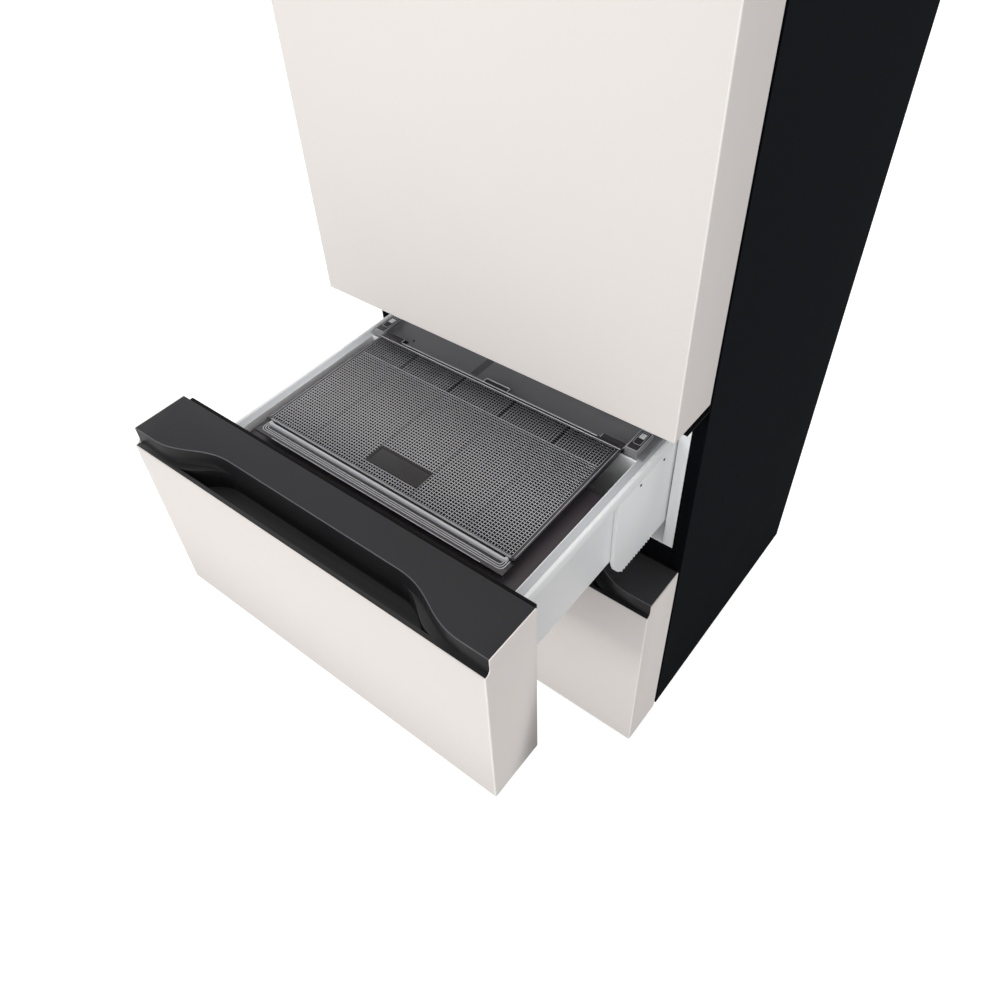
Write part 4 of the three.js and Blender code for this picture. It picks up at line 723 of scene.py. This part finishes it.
# %% [markdown]
# ## The lid of the drawer
# The smoked lid carries a raised lattice, 92 by 49 cells of 5.12 mm, cut into fields by heavier ribs. Bars
# run front to back and each cell holds a bead; their near-white finish is a painted highlight, which is what
# makes the lid shimmer. The beads stand 0.9 mm proud of the lid, as the moulded ones do. The last nine rows
# lie in the shade of the door and are a bay of their own, whose smaller beads get the darker smoked rib
# finish as painted shade.

# %% Lid lattice
LID_TOP, LID_FRONT = top_of("mesh_lid"), front_of("mesh_lid") + OPEN
MESH_FRONT = LID_FRONT + 31.5
PITCH = 5.12
COLUMNS, ROWS, MAIN_ROWS = 92, 49, 40
REAR_BAY, MESH_BACK = MESH_FRONT + MAIN_ROWS * PITCH, MESH_FRONT + ROWS * PITCH
mesh_half = COLUMNS * PITCH / 2
on_lid = ("drawer_lid", "smoked_plastic")
# The rear bay's lattice gets the darker smoked rib finish as painted shade from the door.
for name, rows, start, bead, material in (
        ("lid_lattice", MAIN_ROWS, MESH_FRONT, (1.8, 0.95, 0.9), clear_rib_painted_highlight),
        ("lid_lattice_rear", ROWS - MAIN_ROWS, REAR_BAY, (1.3, 0.7, 0.6), smoked_rib_and_painted_shade)):
    grow(name, lattice, {
        "Columns": COLUMNS, "Rows": rows, "Pitch": PITCH * MM, "Corner": at(-mesh_half, start, LID_TOP, OPEN),
        "Long Bar": (0.75 * MM, rows * PITCH * MM, 1.3 * MM),
        "Cross Bar": (COLUMNS * PITCH * MM, 0.4 * MM, 0.5 * MM),
        "Bead": Vector(bead) * MM}, material, *on_lid, smooth=0)

# %% [markdown]
# Heavier ribs divide the lattice. The lower lip in front has a broad rounded ridge and a set of fine lines
# that all turn back round the same corners, which is how the tool's shrink ribs were cut. A black sheet
# between the bars is painted shadow, as are the black gaps of the rear bay's seams, and the borders beside
# the lattice are plain, because mauve plastic shows through them.

# %% Lid ribs and front mouldings
RIBS_X, RIBS_Y = (-153.7, -51.2, 51.2, 153.7), (OPEN - 136.4, OPEN - 34.4)
LID_HALF, BORDER_X = 242.4, 240.0
heavy = [(along_y(x, MESH_FRONT, REAR_BAY, LID_TOP), half_round(1.2, 0.9)) for x in RIBS_X]
heavy += [(along_x(-mesh_half, mesh_half, y, LID_TOP), half_round(1.0, 0.8)) for y in RIBS_Y]
sweeps("lid_field_ribs", heavy, smoked_rib_and_painted_shade, *on_lid)
# The rear bay's seams are black as painted shadow.
dark_seams = [(along_y(x, REAR_BAY + 1, MESH_BACK, LID_TOP), half_round(1.0, 1.2)) for x in RIBS_X]
sweeps("lid_rear_seams", dark_seams, lid_shadow, *on_lid)


def flat_bar(x0, x1, y, depth, height, thick):
    """A flat strip along X, centred on y."""
    return along_x(x0, x1, y, height), strip(depth / 2, thick, 0)


floor_y, floor_depth = (MESH_FRONT + MESH_BACK) / 2, ROWS * PITCH + 3.0
borders = both_sides(BORDER_X, MESH_FRONT - 2, MESH_BACK, LID_TOP, strip(2.9, 0.14))
borders += [flat_bar(-LID_HALF, LID_HALF, LID_FRONT + 6.0, 11.0, LID_TOP - 5.1, 0.24)]
sweeps("lid_borders", borders, smoked_border, *on_lid)
# A black sheet under the lattice: painted shadow between the bars.
mesh_floor = flat_bar(-mesh_half - 1.0, mesh_half + 1.0, floor_y, floor_depth, LID_TOP - 0.1, 0.22)
sweeps("lid_mesh_floor", [mesh_floor], lid_shadow, *on_lid)

LIP = LID_TOP - 5.0


def u_path(half_width, front, back, height, radius):
    corners = [(-half_width, back, height), (-half_width, front, height), (half_width, front, height),
               (half_width, back, height)]
    return rounded(corners, radius)


def ring(x0, x1, y0, y1, height, radius):
    return rounded([(x0, y0, height), (x1, y0, height), (x1, y1, height), (x0, y1, height)], radius, 5, True)


lip_back = LID_FRONT + 25.0
fine = [(u_path(half, LID_FRONT + inset, lip_back, LIP, 9.0), half_round(1.5, 0.9))
        for half, inset in ((236.6, 6.6), (233.4, 9.9), (230.2, 13.2))]
fine += [(along_x(-205, 205, LID_FRONT + 1.0, LIP), half_round(1.4, 0.9))]
ridge = u_path(231.0, LID_FRONT + 21.8, lip_back + 4.0, LIP, 10.0)
strips = [(along_x(-mesh_half, mesh_half, LID_FRONT + y, LID_TOP), half_round(1.0, 0.5)) for y in (27.8, 29.6)]
low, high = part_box("lid_label_plate")
label_frame = ring(low.x / MM, high.x / MM, drawn(low.y) + OPEN, drawn(high.y) + OPEN, LID_TOP + 0.3, 2.5)
raised = [(-2.2, 0), (2.2, 0), (1.8, 1.6), (-1.8, 1.6)]
sweeps("lid_label_frame", [(label_frame, raised, CLOSED)], label_acrylic, *on_lid)
# The lip lines and the front ridge get the near-white rib finish as painted highlights.
sweeps("lid_lip_lines", fine + strips, clear_rib_painted_highlight, *on_lid)
sweeps("lid_front_ridge", [(ridge, round_section(7.0, 10.0, 14))], clear_rib_painted_highlight, *on_lid)

# %% [markdown]
# The back edge has two thin lines with a tab between them, and each hinge tab is edged by a bright line.
# All of these get the near-white rib finish as painted highlights, standing for the light in the rounded
# edges of the clear moulding.

# %% Lid back edge and tabs
LID_BACK = front_of("rear_plate") + OPEN
TAB_START = 198
SIDE_TABS = ((-243.2, -202.0), (202.0, 243.2))
back_lines = [(along_x(x0, x1, LID_BACK - y, LID_TOP), half_round(1.5, 0.9)) for x0, x1, y in (
    (-TAB_START, TAB_START, 6.8), (-TAB_START, TAB_START, 1.3),
    (-LID_HALF, -TAB_START, 6.8), (TAB_START, LID_HALF, 6.8))]
tab_edge = round_section(1.6, 1.8, 8)
tab_rings = [(ring(x0, x1, LID_BACK - 3.0, LID_BACK + y, LID_TOP - 1.5, 3.5), tab_edge, CLOSED)
             for (x0, x1), y in (((-23, 25), 10.4), (SIDE_TABS[0], 10.2), (SIDE_TABS[1], 10.2))]
side_lines = both_sides(240.5, LID_FRONT + 30, LID_BACK - 8, LID_TOP, half_round(0.8, 0.5))
tab_floors = [flat_bar(x0 + 1.5, x1 - 1.5, LID_BACK + 3.6, 12.4, LID_TOP - 4.4, 4.0) for x0, x1 in SIDE_TABS]
tab_floors += [flat_bar(x0, x1, LID_BACK - 5.6, 7.0, LID_TOP - 0.1, 0.35)
               for x0, x1 in ((-243.2, -197.0), (197.0, 243.2))]
centre_tab = [(-5.6, -2.4), (5.6, -2.4), (6.2, 2.6), (-6.2, 2.6)]
tab_floors += [(along_x(-22, 24, LID_BACK + 3.8, LID_TOP - 4.4), centre_tab)]
sweeps("lid_tab_floors", tab_floors, smoked_border, *on_lid)
sweeps("lid_edge_lines", back_lines + tab_rings + side_lines, clear_rib_painted_highlight, *on_lid)

# %% [markdown]
# ## Drawer rim, ears and wells
# The box's rim ends in a raised bead, which stiffens the moulding. The flat beside the bead gets a grey copy
# of the white plastic as painted shade, so the bead shows as a second, brighter stripe. The ears that hold
# the lid are clear pockets, and their upper edges get the near-white rib finish as painted highlights.

# %% Rims and ears
DRAWERS = (("middle", "middle_drawer"), ("lower", "lower_drawer"))
BEAD_X, FLAT_X, STEP_X = 284.4, 275.6, 268.9
BOX_FRONT, BOX_BACK = front_of("middle_box") + OPEN, back_of("middle_box") + OPEN
for word, body in DRAWERS:
    top = top_of(f"{word}_box")
    beads = both_sides(BEAD_X, BOX_FRONT + 1, BOX_BACK - 1, top, half_round(6.4, 1.6, 8))
    beads += both_sides(STEP_X, BOX_FRONT + 4, BOX_BACK - 4, top, half_round(1.6, 0.8))
    sweeps(f"{word}_rim_beads", beads, white_hips, body, "white_plastic")
    # The rim's flats get the grey copy of the white plastic as painted shade.
    flats = both_sides(FLAT_X, BOX_FRONT + 1, BOX_BACK - 1, top, strip(5.8, 0.35))
    sweeps(f"{word}_rim_flats", flats, grey_hips_and_painted_rim_shade, body, "white_plastic")

EAR_TOP = top_of("rear_plate")
PLATE_TOP = EAR_TOP - 10.3
EAR_IN, EAR_OUT, EAR_X = 245.6, 265.0, 255.3
on_plate = ("middle_drawer", "smoked_plastic")
ear_rings = []
for x0, x1 in ((-EAR_OUT, -EAR_IN), (EAR_IN, EAR_OUT)):
    ear_rings.append((ring(x0, x1, LID_BACK + 2.6, LID_BACK + 48.0, EAR_TOP - 0.4, 3.0),
                      round_section(1.5, 1.5, 8), CLOSED))
    ear_rings.append((ring(x0 + 3.2, x1 - 3.2, LID_BACK + 16, LID_BACK + 44.5, EAR_TOP - 0.3, 3.0),
                      round_section(1.2, 1.3, 8), CLOSED))
stripe = along_y(-52.5, LID_BACK + 12, BOX_BACK - 3, PLATE_TOP)
sweeps("rear_plate_stripe", [(stripe, strip(7.0, 0.1))], smoked_seam, *on_plate)
marks = [(along_z(-195, 462, PLATE_TOP - 0.5, PLATE_TOP + 0.3), round_section(4.6, 4.6, 16), UPRIGHT)]
marks += both_sides(EAR_X, LID_BACK + 4.0, LID_BACK + 46.6, EAR_TOP, strip(8.6, 0.12))
sweeps("rear_plate_marks", marks, smoked_border, *on_plate)
bracket = [(-4.6, 0), (4.6, 0), (4.6, 3.1), (3.9, 3.5), (-3.9, 3.5), (-4.6, 3.1)]
brackets = both_sides(EAR_X, LID_BACK + 30, LID_BACK + 41, EAR_TOP - 3.0, bracket)
sweeps("lid_pivot_brackets", brackets, white_hips, "middle_drawer", "white_plastic")
sweeps("rear_plate_edges", ear_rings, clear_rib_painted_highlight, *on_plate)

joint = [(-6.5, -2.0), (6.5, -2.0), (6.5, 0.4), (5.5, 1.0), (-5.5, 1.0), (-6.5, 0.4)]
joint_path = along_y(0, 116.8, 355.8, top_of("tub_lid_left"))
sweeps("tub_lid_joint", [(joint_path, joint)], tub_polypropylene, "middle_drawer", "tub_plastic")

# %% [markdown]
# ## Seals
# A door seal is a soft extrusion with a magnet in it: a flat lip, a waist that folds, and a flat foot, cut
# at 45 degrees and welded at the corners. The sweep with four sharp corners makes just that.

# %% Seals
SEAL_HALF = 9.0


def seal(word, body):
    low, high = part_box(f"{word}_gasket")
    y = drawn((low.y + high.y) / 2) + OPEN_BY.get(body, 0.0)
    x, z0, z1 = high.x / MM - SEAL_HALF, low.z / MM + SEAL_HALF, high.z / MM - SEAL_HALF
    section = [(-9, -3.6), (9, -3.6), (9, -2.2), (6, -1.4), (4.6, 0), (6, 1.4), (9, 2.2), (9, 3.6),
               (-9, 3.6), (-9, 2.2), (-6, 1.4), (-4.6, 0), (-6, -1.4), (-9, -2.2)]
    path = [(-x, y, z0), (x, y, z0), (x, y, z1), (-x, y, z1)]
    sweeps(f"{word}_seal", [(path, section, CLOSED | UPRIGHT)], seal_rubber, body, "rubber", [f"{word}_gasket"])


lip = [(-2.8, -9.0), (2.8, -9.0), (2.8, -1.4), (2.0, -0.6), (-2.0, -0.6), (-2.8, -1.4)]
for word, body in DRAWERS:
    cap = f"{word}_front_cap"
    lip_path = along_x(-318, 329, back_of(cap) + OPEN_BY.get(body, 0.0) + 3.4, top_of(cap))
    sweeps(f"{word}_seal_lip", [(lip_path, lip)], seal_rubber, body, "rubber")
for word, body in (("door", "door"),) + DRAWERS:
    seal(word, body)

# %% [markdown]
# ## Screws
# A pan-head screw with a cross recess is twelve-sided here, because the outline of a cross has just twelve
# corners: rings of twelve points make the head, and the innermost ring is sunk. Each ring is noted with how
# wide it is drawn and how high it lies. Points carry the screws, so a tree places one on every point, and
# one list says where each face of the cabinet has them.

# %% Screw heads
def screw_head(radius=3.6, height=1.6):
    arm, slot_half = radius * 0.55, radius * 0.17
    cross = []
    for c, s in ((1, 0), (0, 1), (-1, 0), (0, -1)):
        for a, b in ((arm, -slot_half), (arm, slot_half), (slot_half, slot_half)):
            cross.append((a * c - b * s, a * s + b * c))
    turns = [math.atan2(y, x) for x, y in cross]
    circle = [(math.cos(t), math.sin(t)) for t in turns]
    rings = ((circle, radius, 0.0), (circle, radius, 0.45), (circle, radius * 0.8, 1.0), (cross, 1.0, 1.0),
             (cross, 0.9, 0.35))
    points = [(x * wide * MM, y * wide * MM, height * up * MM)
              for outline, wide, up in rings for x, y in outline]
    faces = [(12 * r + k, 12 * r + (k + 1) % 12, 12 * r + 12 + (k + 1) % 12, 12 * r + 12 + k)
             for r in range(4) for k in range(12)]
    faces += [tuple(range(48, 60)), tuple(range(11, -1, -1))]
    mesh = bpy.data.meshes.new("screw_head")
    mesh.from_pydata(points, [], faces)
    return mesh


screw_tree, given = new_tree("screws_on_points", Screw="Object", Turn="Vector")
screw = add(screw_tree, "GeometryNodeObjectInfo", {"Object": given["Screw"]}).outputs["Geometry"]
seats = shape(screw_tree, "MeshToPoints", {"Mesh": given["Geometry"]})
heads = shape(screw_tree, "InstanceOnPoints", {
    "Points": seats, "Instance": screw, "Rotation": given["Turn"]})
close_tree(screw_tree, heads, given)

pattern = bpy.data.objects.new("screw_pattern", screw_head())
small_pattern = bpy.data.objects.new("small_screw_pattern", screw_head(2.2, 1.1))
for one in (pattern, small_pattern):
    scene.collection.objects.link(one)
QUARTER = math.pi / 2
FACING = {"front": (QUARTER, 0, 0), "back": (-QUARTER, 0, 0), "right": (0, QUARTER, 0),
          "left": (0, -QUARTER, 0), "up": (0, 0, 0)}


def screws(name, points, facing, body, material=zinc_plate, head=pattern, slot="zinc_steel"):
    seats = bpy.data.meshes.new(f"{name}_seats")
    seats.from_pydata([at(*p) for p in points], [], [])
    grow(name, screw_tree, {"Screw": head, "Turn": FACING[facing]}, material, body, slot, base=seats)


def crossed(xs, y, zs):
    return [(x, y, z) for x in xs for z in zs]


BEAM_FACE, AIR_FACE = front_of("lower_crossbeam"), front_of("evaporator_cover")
BACK_FACE, COVER_FACE = back_of("back_panel"), back_of("machine_cover")
screws("crossbeam_screws", crossed((-283, 283), BEAM_FACE, (504, 857)), "front", "cabinet", black_prepainted,
       slot="black_steel")
rim = crossed((-322, 322), BACK_FACE, range(250, 1800, 250))
rim += crossed((-210, -70, 70, 210), BACK_FACE, (234, 1830))
screws("back_panel_screws", rim, "back", "cabinet")
screws("machine_cover_screws", crossed((-301, -100, 100, 301), COVER_FACE, (42, 214)), "back", "cabinet")
screws("evaporator_cover_screws", crossed((-276, 276), AIR_FACE, (912, 1350, 1788)), "front", "cabinet",
       white_hips, slot="white_plastic")
screws("top_hinge_screws", [(310, y, 1845.3) for y in (105, 130, 155)], "up", "cabinet")
for word, height, start in (("middle", 758, -56.0), ("lower", 395, 152.0)):
    for side, x in (("left", -287.7), ("right", 287.7)):
        points = [(x, start + y, height) for y in (61, 128)]
        screws(f"{word}_{side}_clips", points, side, f"{word}_carriages", dark_abs, small_pattern,
               "white_plastic")

# %% [markdown]
# Beside the cover of the machine space the shell's sides turn inwards as narrow flanges, which hide the
# edge of the foam, and the cover is screwed to them. The large back panel is stiffened by pressed swages.

# %% Flanges and swages
FLANGE_X, CURL_X, FLANGE_LOW, FLANGE_HIGH = 321.0, 310.9, 36.0, 224.0
flanges = []
for x, y, section in ((FLANGE_X, 688.85, strip(10.6, 0.9)), (CURL_X, 685.1, strip(0.5, 3.8, 0))):
    flanges += [(along_z(s * x, y, FLANGE_LOW, FLANGE_HIGH), section, UPRIGHT) for s in (-1, 1)]
sweeps("machine_space_flanges", flanges, spangled_zinc, *ZINC)
swages = [(along_z(x, BACK_FACE, 330, 1740), half_round(16, 1.3, 10), UPRIGHT) for x in (-190, 0, 190)]
sweeps("back_panel_swages", swages, spangled_zinc, *ZINC)

# %% [markdown]
# ## Louvres and air slots
# Sheet louvres are lanced and pushed out, so each slot has a little hood over it. A row of tilted bars,
# one for each slot, makes the hoods of the machine cover and of the moulded cover inside.

# %% Hoods
TILT = math.radians(38)
for side, x in (("left", -99), ("right", 99)):
    row(f"machine_hoods_{side}", 8, (x, COVER_FACE + 1.9, 64.6), (0, 0, 18), (180, 5.2, 0.9), spangled_zinc,
        *ZINC, (-TILT, 0, 0), edge=0.3)
row("air_slot_hoods", 5, (0, AIR_FACE - 1.9, 926.6), (0, 0, 26), (180, 5.6, 1.4), white_hips,
    *WHITE_PLASTIC, (TILT, 0, 0), edge=0.5)

# %% [markdown]
# ## Coils
# A finned coil is a stack of thin plates on one long tube that goes back and forth with round bends. The
# CAD solid carries the coarse form; the close fins are a row of plates and the tube is a sweep whose
# corners are full arcs. The fins are drawn 0.4 mm thick, as rolled fin stock is with its collars.

# %% Fins and tubes
COIL_Y, MACHINE_Y, FIN = 595.7, 563.5, 0.4
row("evaporator_fins", 64, (-176.4, COIL_Y, 1122), (5.601, 0, 0), (FIN, 30, 240), aluminium_fin, *ALUMINIUM)
row("condenser_fins", 32, (118.1, MACHINE_Y, 96.8), (4.64, 0, 0), (FIN, 150, 130), aluminium_fin, *ALUMINIUM)


def serpentine(x0, x1, y, levels):
    corners = []
    for i, z in enumerate(levels):
        corners += [(x0, y, z), (x1, y, z)] if i % 2 == 0 else [(x1, y, z), (x0, y, z)]
    return rounded(corners, (levels[1] - levels[0]) / 2, 8)


coil = serpentine(-202, 202, COIL_Y, [1022 + 40 * i for i in range(6)])
sweeps("evaporator_tube", [(coil, round_section(8.4, 8.4, 12), UPRIGHT)], aluminium_fin, *ALUMINIUM)
coils = [serpentine(98, 282, y, [48 + 32 * i for i in range(4)]) for y in (MACHINE_Y - 40, MACHINE_Y + 40)]
sweeps("condenser_tubes", [(path, round_section(7, 7, 12), UPRIGHT) for path in coils], copper_tube, *ALUMINIUM)

# %% [markdown]
# ## Turned parts
# The compressor's can is two deep-drawn cups welded round the middle. A section turned about an axis is
# the plain way to make it, with the rounded shoulders that drawing leaves. The fan's hub is made so too. The
# can stands in one line with the condenser.

# %% Compressor
def round_about(centre, radius, angle, height, axis):
    a, b = radius * math.cos(angle), radius * math.sin(angle)
    reach = {"z": (a, b, height), "y": (a, height, b), "x": (height, a, b)}[axis]
    return at(*(Vector(centre) + Vector(reach)))


def turned_into(bm, profile, centre, steps=48, axis="z"):
    rings = []
    for radius, height in profile:
        turns = [2 * math.pi * k / steps for k in range(1 if radius == 0 else steps)]
        rings.append([bm.verts.new(round_about(centre, radius, turn, height, axis)) for turn in turns])
    bridge(bm, rings)


def block_into(bm, x0, x1, y0, y1, z0, z1, edge=1.5):
    made = bmesh.ops.create_cube(bm, size=1.0)["verts"]
    for v in made:
        v.co = at(x1 if v.co.x > 0 else x0, y1 if v.co.y > 0 else y0, z1 if v.co.z > 0 else z0)
    edges = list({e for v in made for e in v.link_edges})
    bmesh.ops.bevel(bm, geom=edges, offset=edge * MM, segments=3, profile=0.5, affect="EDGES")


CAN_X, CAN_Y = -160, MACHINE_Y


def compressor_can(bm):
    turned_into(bm, [
        (0, 34.5), (44, 34.6), (58, 38), (64.5, 45), (66.8, 56), (66.8, 92), (68, 93), (68, 98), (66.8, 99),
        (66.8, 138), (64, 152), (56, 162), (42, 167.6), (20, 169.5), (0, 169.8)], (CAN_X, CAN_Y, 0))
    block_into(bm, CAN_X - 80, CAN_X + 80, CAN_Y - 56, CAN_Y + 56, 31.8, 34.8, 0.9)
    block_into(bm, CAN_X + 62, CAN_X + 86, CAN_Y - 22, CAN_Y + 22, 62, 112, 3.0)


built("compressor_can", compressor_can, black_enamel, "cabinet", "compressor_steel", ["compressor"])
pipe = rounded([(CAN_X - 20, CAN_Y, 150), (CAN_X - 20, CAN_Y, 192), (CAN_X + 60, CAN_Y + 30, 192),
                (CAN_X + 60, CAN_Y + 30, 205)], 14)
sweeps("suction_pipe", [(pipe, round_section(6, 6, 12), {"up": (0.3, 1, 0)})], copper_tube, *ALUMINIUM)


def plate_grommets(bm):
    profile = [(0, 34.4), (8, 34.4), (9, 36), (9, 39), (7, 41), (4, 41.5), (0, 41.5)]
    for x in (CAN_X - 68, CAN_X + 68):
        for y in (CAN_Y - 45, CAN_Y + 45):
            turned_into(bm, profile, (x, y, 0), 20)


built("compressor_grommets", plate_grommets, seal_rubber, "cabinet", "rubber")

# %% [markdown]
# ## Fans
# A fan's blade is a thin, twisted sheet: steep at the hub and flat at the tip. It is drawn as a grid that
# turns about the axle, with a second grid below it for the thickness, and it replaces the CAD's flat blades.
# `share` runs from the hub to the tip and `t` across the blade, and the tip lags behind by LAG radians.

# %% Fans
HUB, BLADES, DEPTH, THICK, LAG = 14, 5, 13.0, 1.5, 0.35
ALONG, ACROSS = 7, 8


def fan_into(bm, centre, radius, axis):
    turned_into(bm, [(2.9, -7), (HUB, -7), (15, -6), (15, 5), (13.5, 6.6), (11, 7), (2.9, 7), (2.9, -7)],
                centre, 40, axis)
    for blade in range(BLADES):
        grids = []
        for face in (0.5, -0.5):
            grid = []
            for i in range(ALONG):
                share = i / (ALONG - 1)
                r = HUB + (radius - HUB - 1.5) * share
                spread = math.radians(56 - 6 * share)
                line_of = []
                for j in range(ACROSS):
                    t = j / (ACROSS - 1) - 0.5
                    turn = 2 * math.pi * blade / BLADES + t * spread + LAG * share
                    height = t * DEPTH * (0.92 - 0.25 * share) + face * THICK * (1 - 0.7 * abs(2 * t))
                    line_of.append(bm.verts.new(round_about(centre, r, turn, height, axis)))
                grid.append(line_of)
            grids.append(grid)
        top, low = grids
        for i in range(ALONG - 1):
            for j in range(ACROSS - 1):
                bm.faces.new((top[i][j], top[i + 1][j], top[i + 1][j + 1], top[i][j + 1]))
                bm.faces.new((low[i][j], low[i][j + 1], low[i + 1][j + 1], low[i + 1][j]))
            for j in (0, ACROSS - 1):
                bm.faces.new((top[i][j], top[i + 1][j], low[i + 1][j], low[i][j]))
        for j in range(ACROSS - 1):
            for i in (0, ALONG - 1):
                bm.faces.new((top[i][j], top[i][j + 1], low[i][j + 1], low[i][j]))


def centre_of(node):
    low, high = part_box(node)
    middle = (low + high) / 2
    return middle.x / MM, drawn(middle.y), middle.z / MM


for name, axis, body, radius in (
        ("circulation_fan", "y", "evaporator_fan", 52), ("condenser_fan", "x", "machine_fan", 58)):
    built(f"{name}_blades", lambda bm: fan_into(bm, centre_of(name), radius, axis), dark_abs, body,
          "dark_plastic", [name])

# %% [markdown]
# The air opening inside is guarded by wire rings. A tree sets circles of growing radius on points, keeps
# them as curves and gives them a round section; the spokes are a sweep.

# %% Fan guard
guard_tree, given = new_tree(
    "guard_rings", Rings="Int", Inner="Float", Spacing="Float", Wire="Float", Centre="Vector")
ring_points = shape(guard_tree, "Points", {"Count": given["Rings"]})
circle = shape(guard_tree, "CurvePrimitiveCircle", {"Resolution": 48, "Radius": 1.0})
growing = maths(guard_tree, "MULTIPLY", shape(guard_tree, "InputIndex"), given["Spacing"])
size_of = maths(guard_tree, "ADD", growing, given["Inner"])
circles = shape(guard_tree, "InstanceOnPoints", {
    "Points": ring_points, "Instance": circle, "Scale": size_of})
lines = shape(guard_tree, "RealizeInstances", {"Geometry": circles})
wire = shape(guard_tree, "CurvePrimitiveCircle", {"Resolution": 8, "Radius": given["Wire"]})
tubes = shape(guard_tree, "CurveToMesh", {"Curve": lines, "Profile Curve": wire})
upright = shape(guard_tree, "Transform", {
    "Geometry": tubes, "Translation": given["Centre"], "Rotation": (QUARTER, 0, 0)})
close_tree(guard_tree, upright, given)
guard_x, _, guard_z = centre_of("circulation_fan")
guard_y = AIR_FACE - 1.4
grow("fan_guard_rings", guard_tree, {
    "Rings": 6, "Inner": 8 * MM, "Spacing": 9.6 * MM, "Wire": 1.0 * MM,
    "Centre": at(guard_x, guard_y, guard_z)}, white_hips, *WHITE_PLASTIC)
spokes = []
for k in range(6):
    c, s = math.cos(math.pi * k / 3 + 0.3), math.sin(math.pi * k / 3 + 0.3)
    ends = [(guard_x + reach * c, guard_y, guard_z + reach * s) for reach in (7, 62)]
    spokes.append((ends, round_section(2.4, 2.4, 8), UPRIGHT))
sweeps("fan_guard_spokes", spokes, white_hips, *WHITE_PLASTIC)

# %% [markdown]
# ## Feet, shelves and bins
# The foot's disc is ribbed so that it can be turned by hand: a ring of points, one bar on each. The glass
# shelves have a moulded front rail, and each bin has a thicker front edge.

# %% Ribbed feet
knurl, given = new_tree("ring_of_bars", Count="Int", Radius="Float", Size="Vector", Centre="Vector")
hoop = shape(knurl, "MeshCircle", {"Vertices": given["Count"], "Radius": given["Radius"]})
turn_each = maths(knurl, "MULTIPLY", shape(knurl, "InputIndex"),
                  maths(knurl, "DIVIDE", 2 * math.pi, given["Count"]))
bar = shape(knurl, "MeshCube", {"Size": given["Size"]})
set_bars = shape(knurl, "InstanceOnPoints", {
    "Points": hoop, "Instance": bar, "Rotation": output(knurl, "ShaderNodeCombineXYZ", {"Z": turn_each})})
placed_ring = shape(knurl, "Transform", {"Geometry": set_bars, "Translation": given["Centre"]})
close_tree(knurl, placed_ring, given)
for side, x in (("left", -270), ("right", 270)):
    grow(f"foot_ribs_{side}", knurl, {
        "Count": 36, "Radius": 19.7 * MM, "Size": (1.4 * MM, 1.5 * MM, 5.6 * MM), "Centre": at(x, 160, 4.0)},
        dark_abs, f"{side}_foot", "dark_plastic", edge=0.3)

# %% Shelf rails and bin edges
rail = [(-4.6, -4.4), (4.6, -4.4), (5.2, 0), (4.6, 3.6), (2.4, 5.0), (-2.4, 5.0), (-4.6, 3.6), (-5.2, 0)]
shelf_rails = []
for index in (1, 2):
    low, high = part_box(f"upper_shelf_{index}")
    shelf_rails.append((along_x(-288.5, 288.5, drawn(low.y) - 1.5, (low.z + high.z) / 2 / MM), rail))
sweeps("shelf_front_rails", shelf_rails, grey_hips_and_painted_rim_shade, *WHITE_PLASTIC)
bin_edges = []
for index in (1, 2):
    low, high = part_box(f"door_bin_{index}")
    x, y, z = high.x / MM - 1.4, drawn(high.y) - 1.5, high.z / MM
    y0 = drawn(low.y) + 3
    bin_edges.append((u_path(x, y, y0, z - 1.0, 9.0), round_section(4.2, 4.6, 12)))
    bin_edges.append((u_path(x + 0.4, y + 0.4, y0, z - 62.0, 9.0), round_section(3.2, 3.4, 10)))
sweeps("door_bin_edges", bin_edges, white_hips, "door", "white_plastic")
for one in (pattern, small_pattern):
    bpy.data.objects.remove(one)
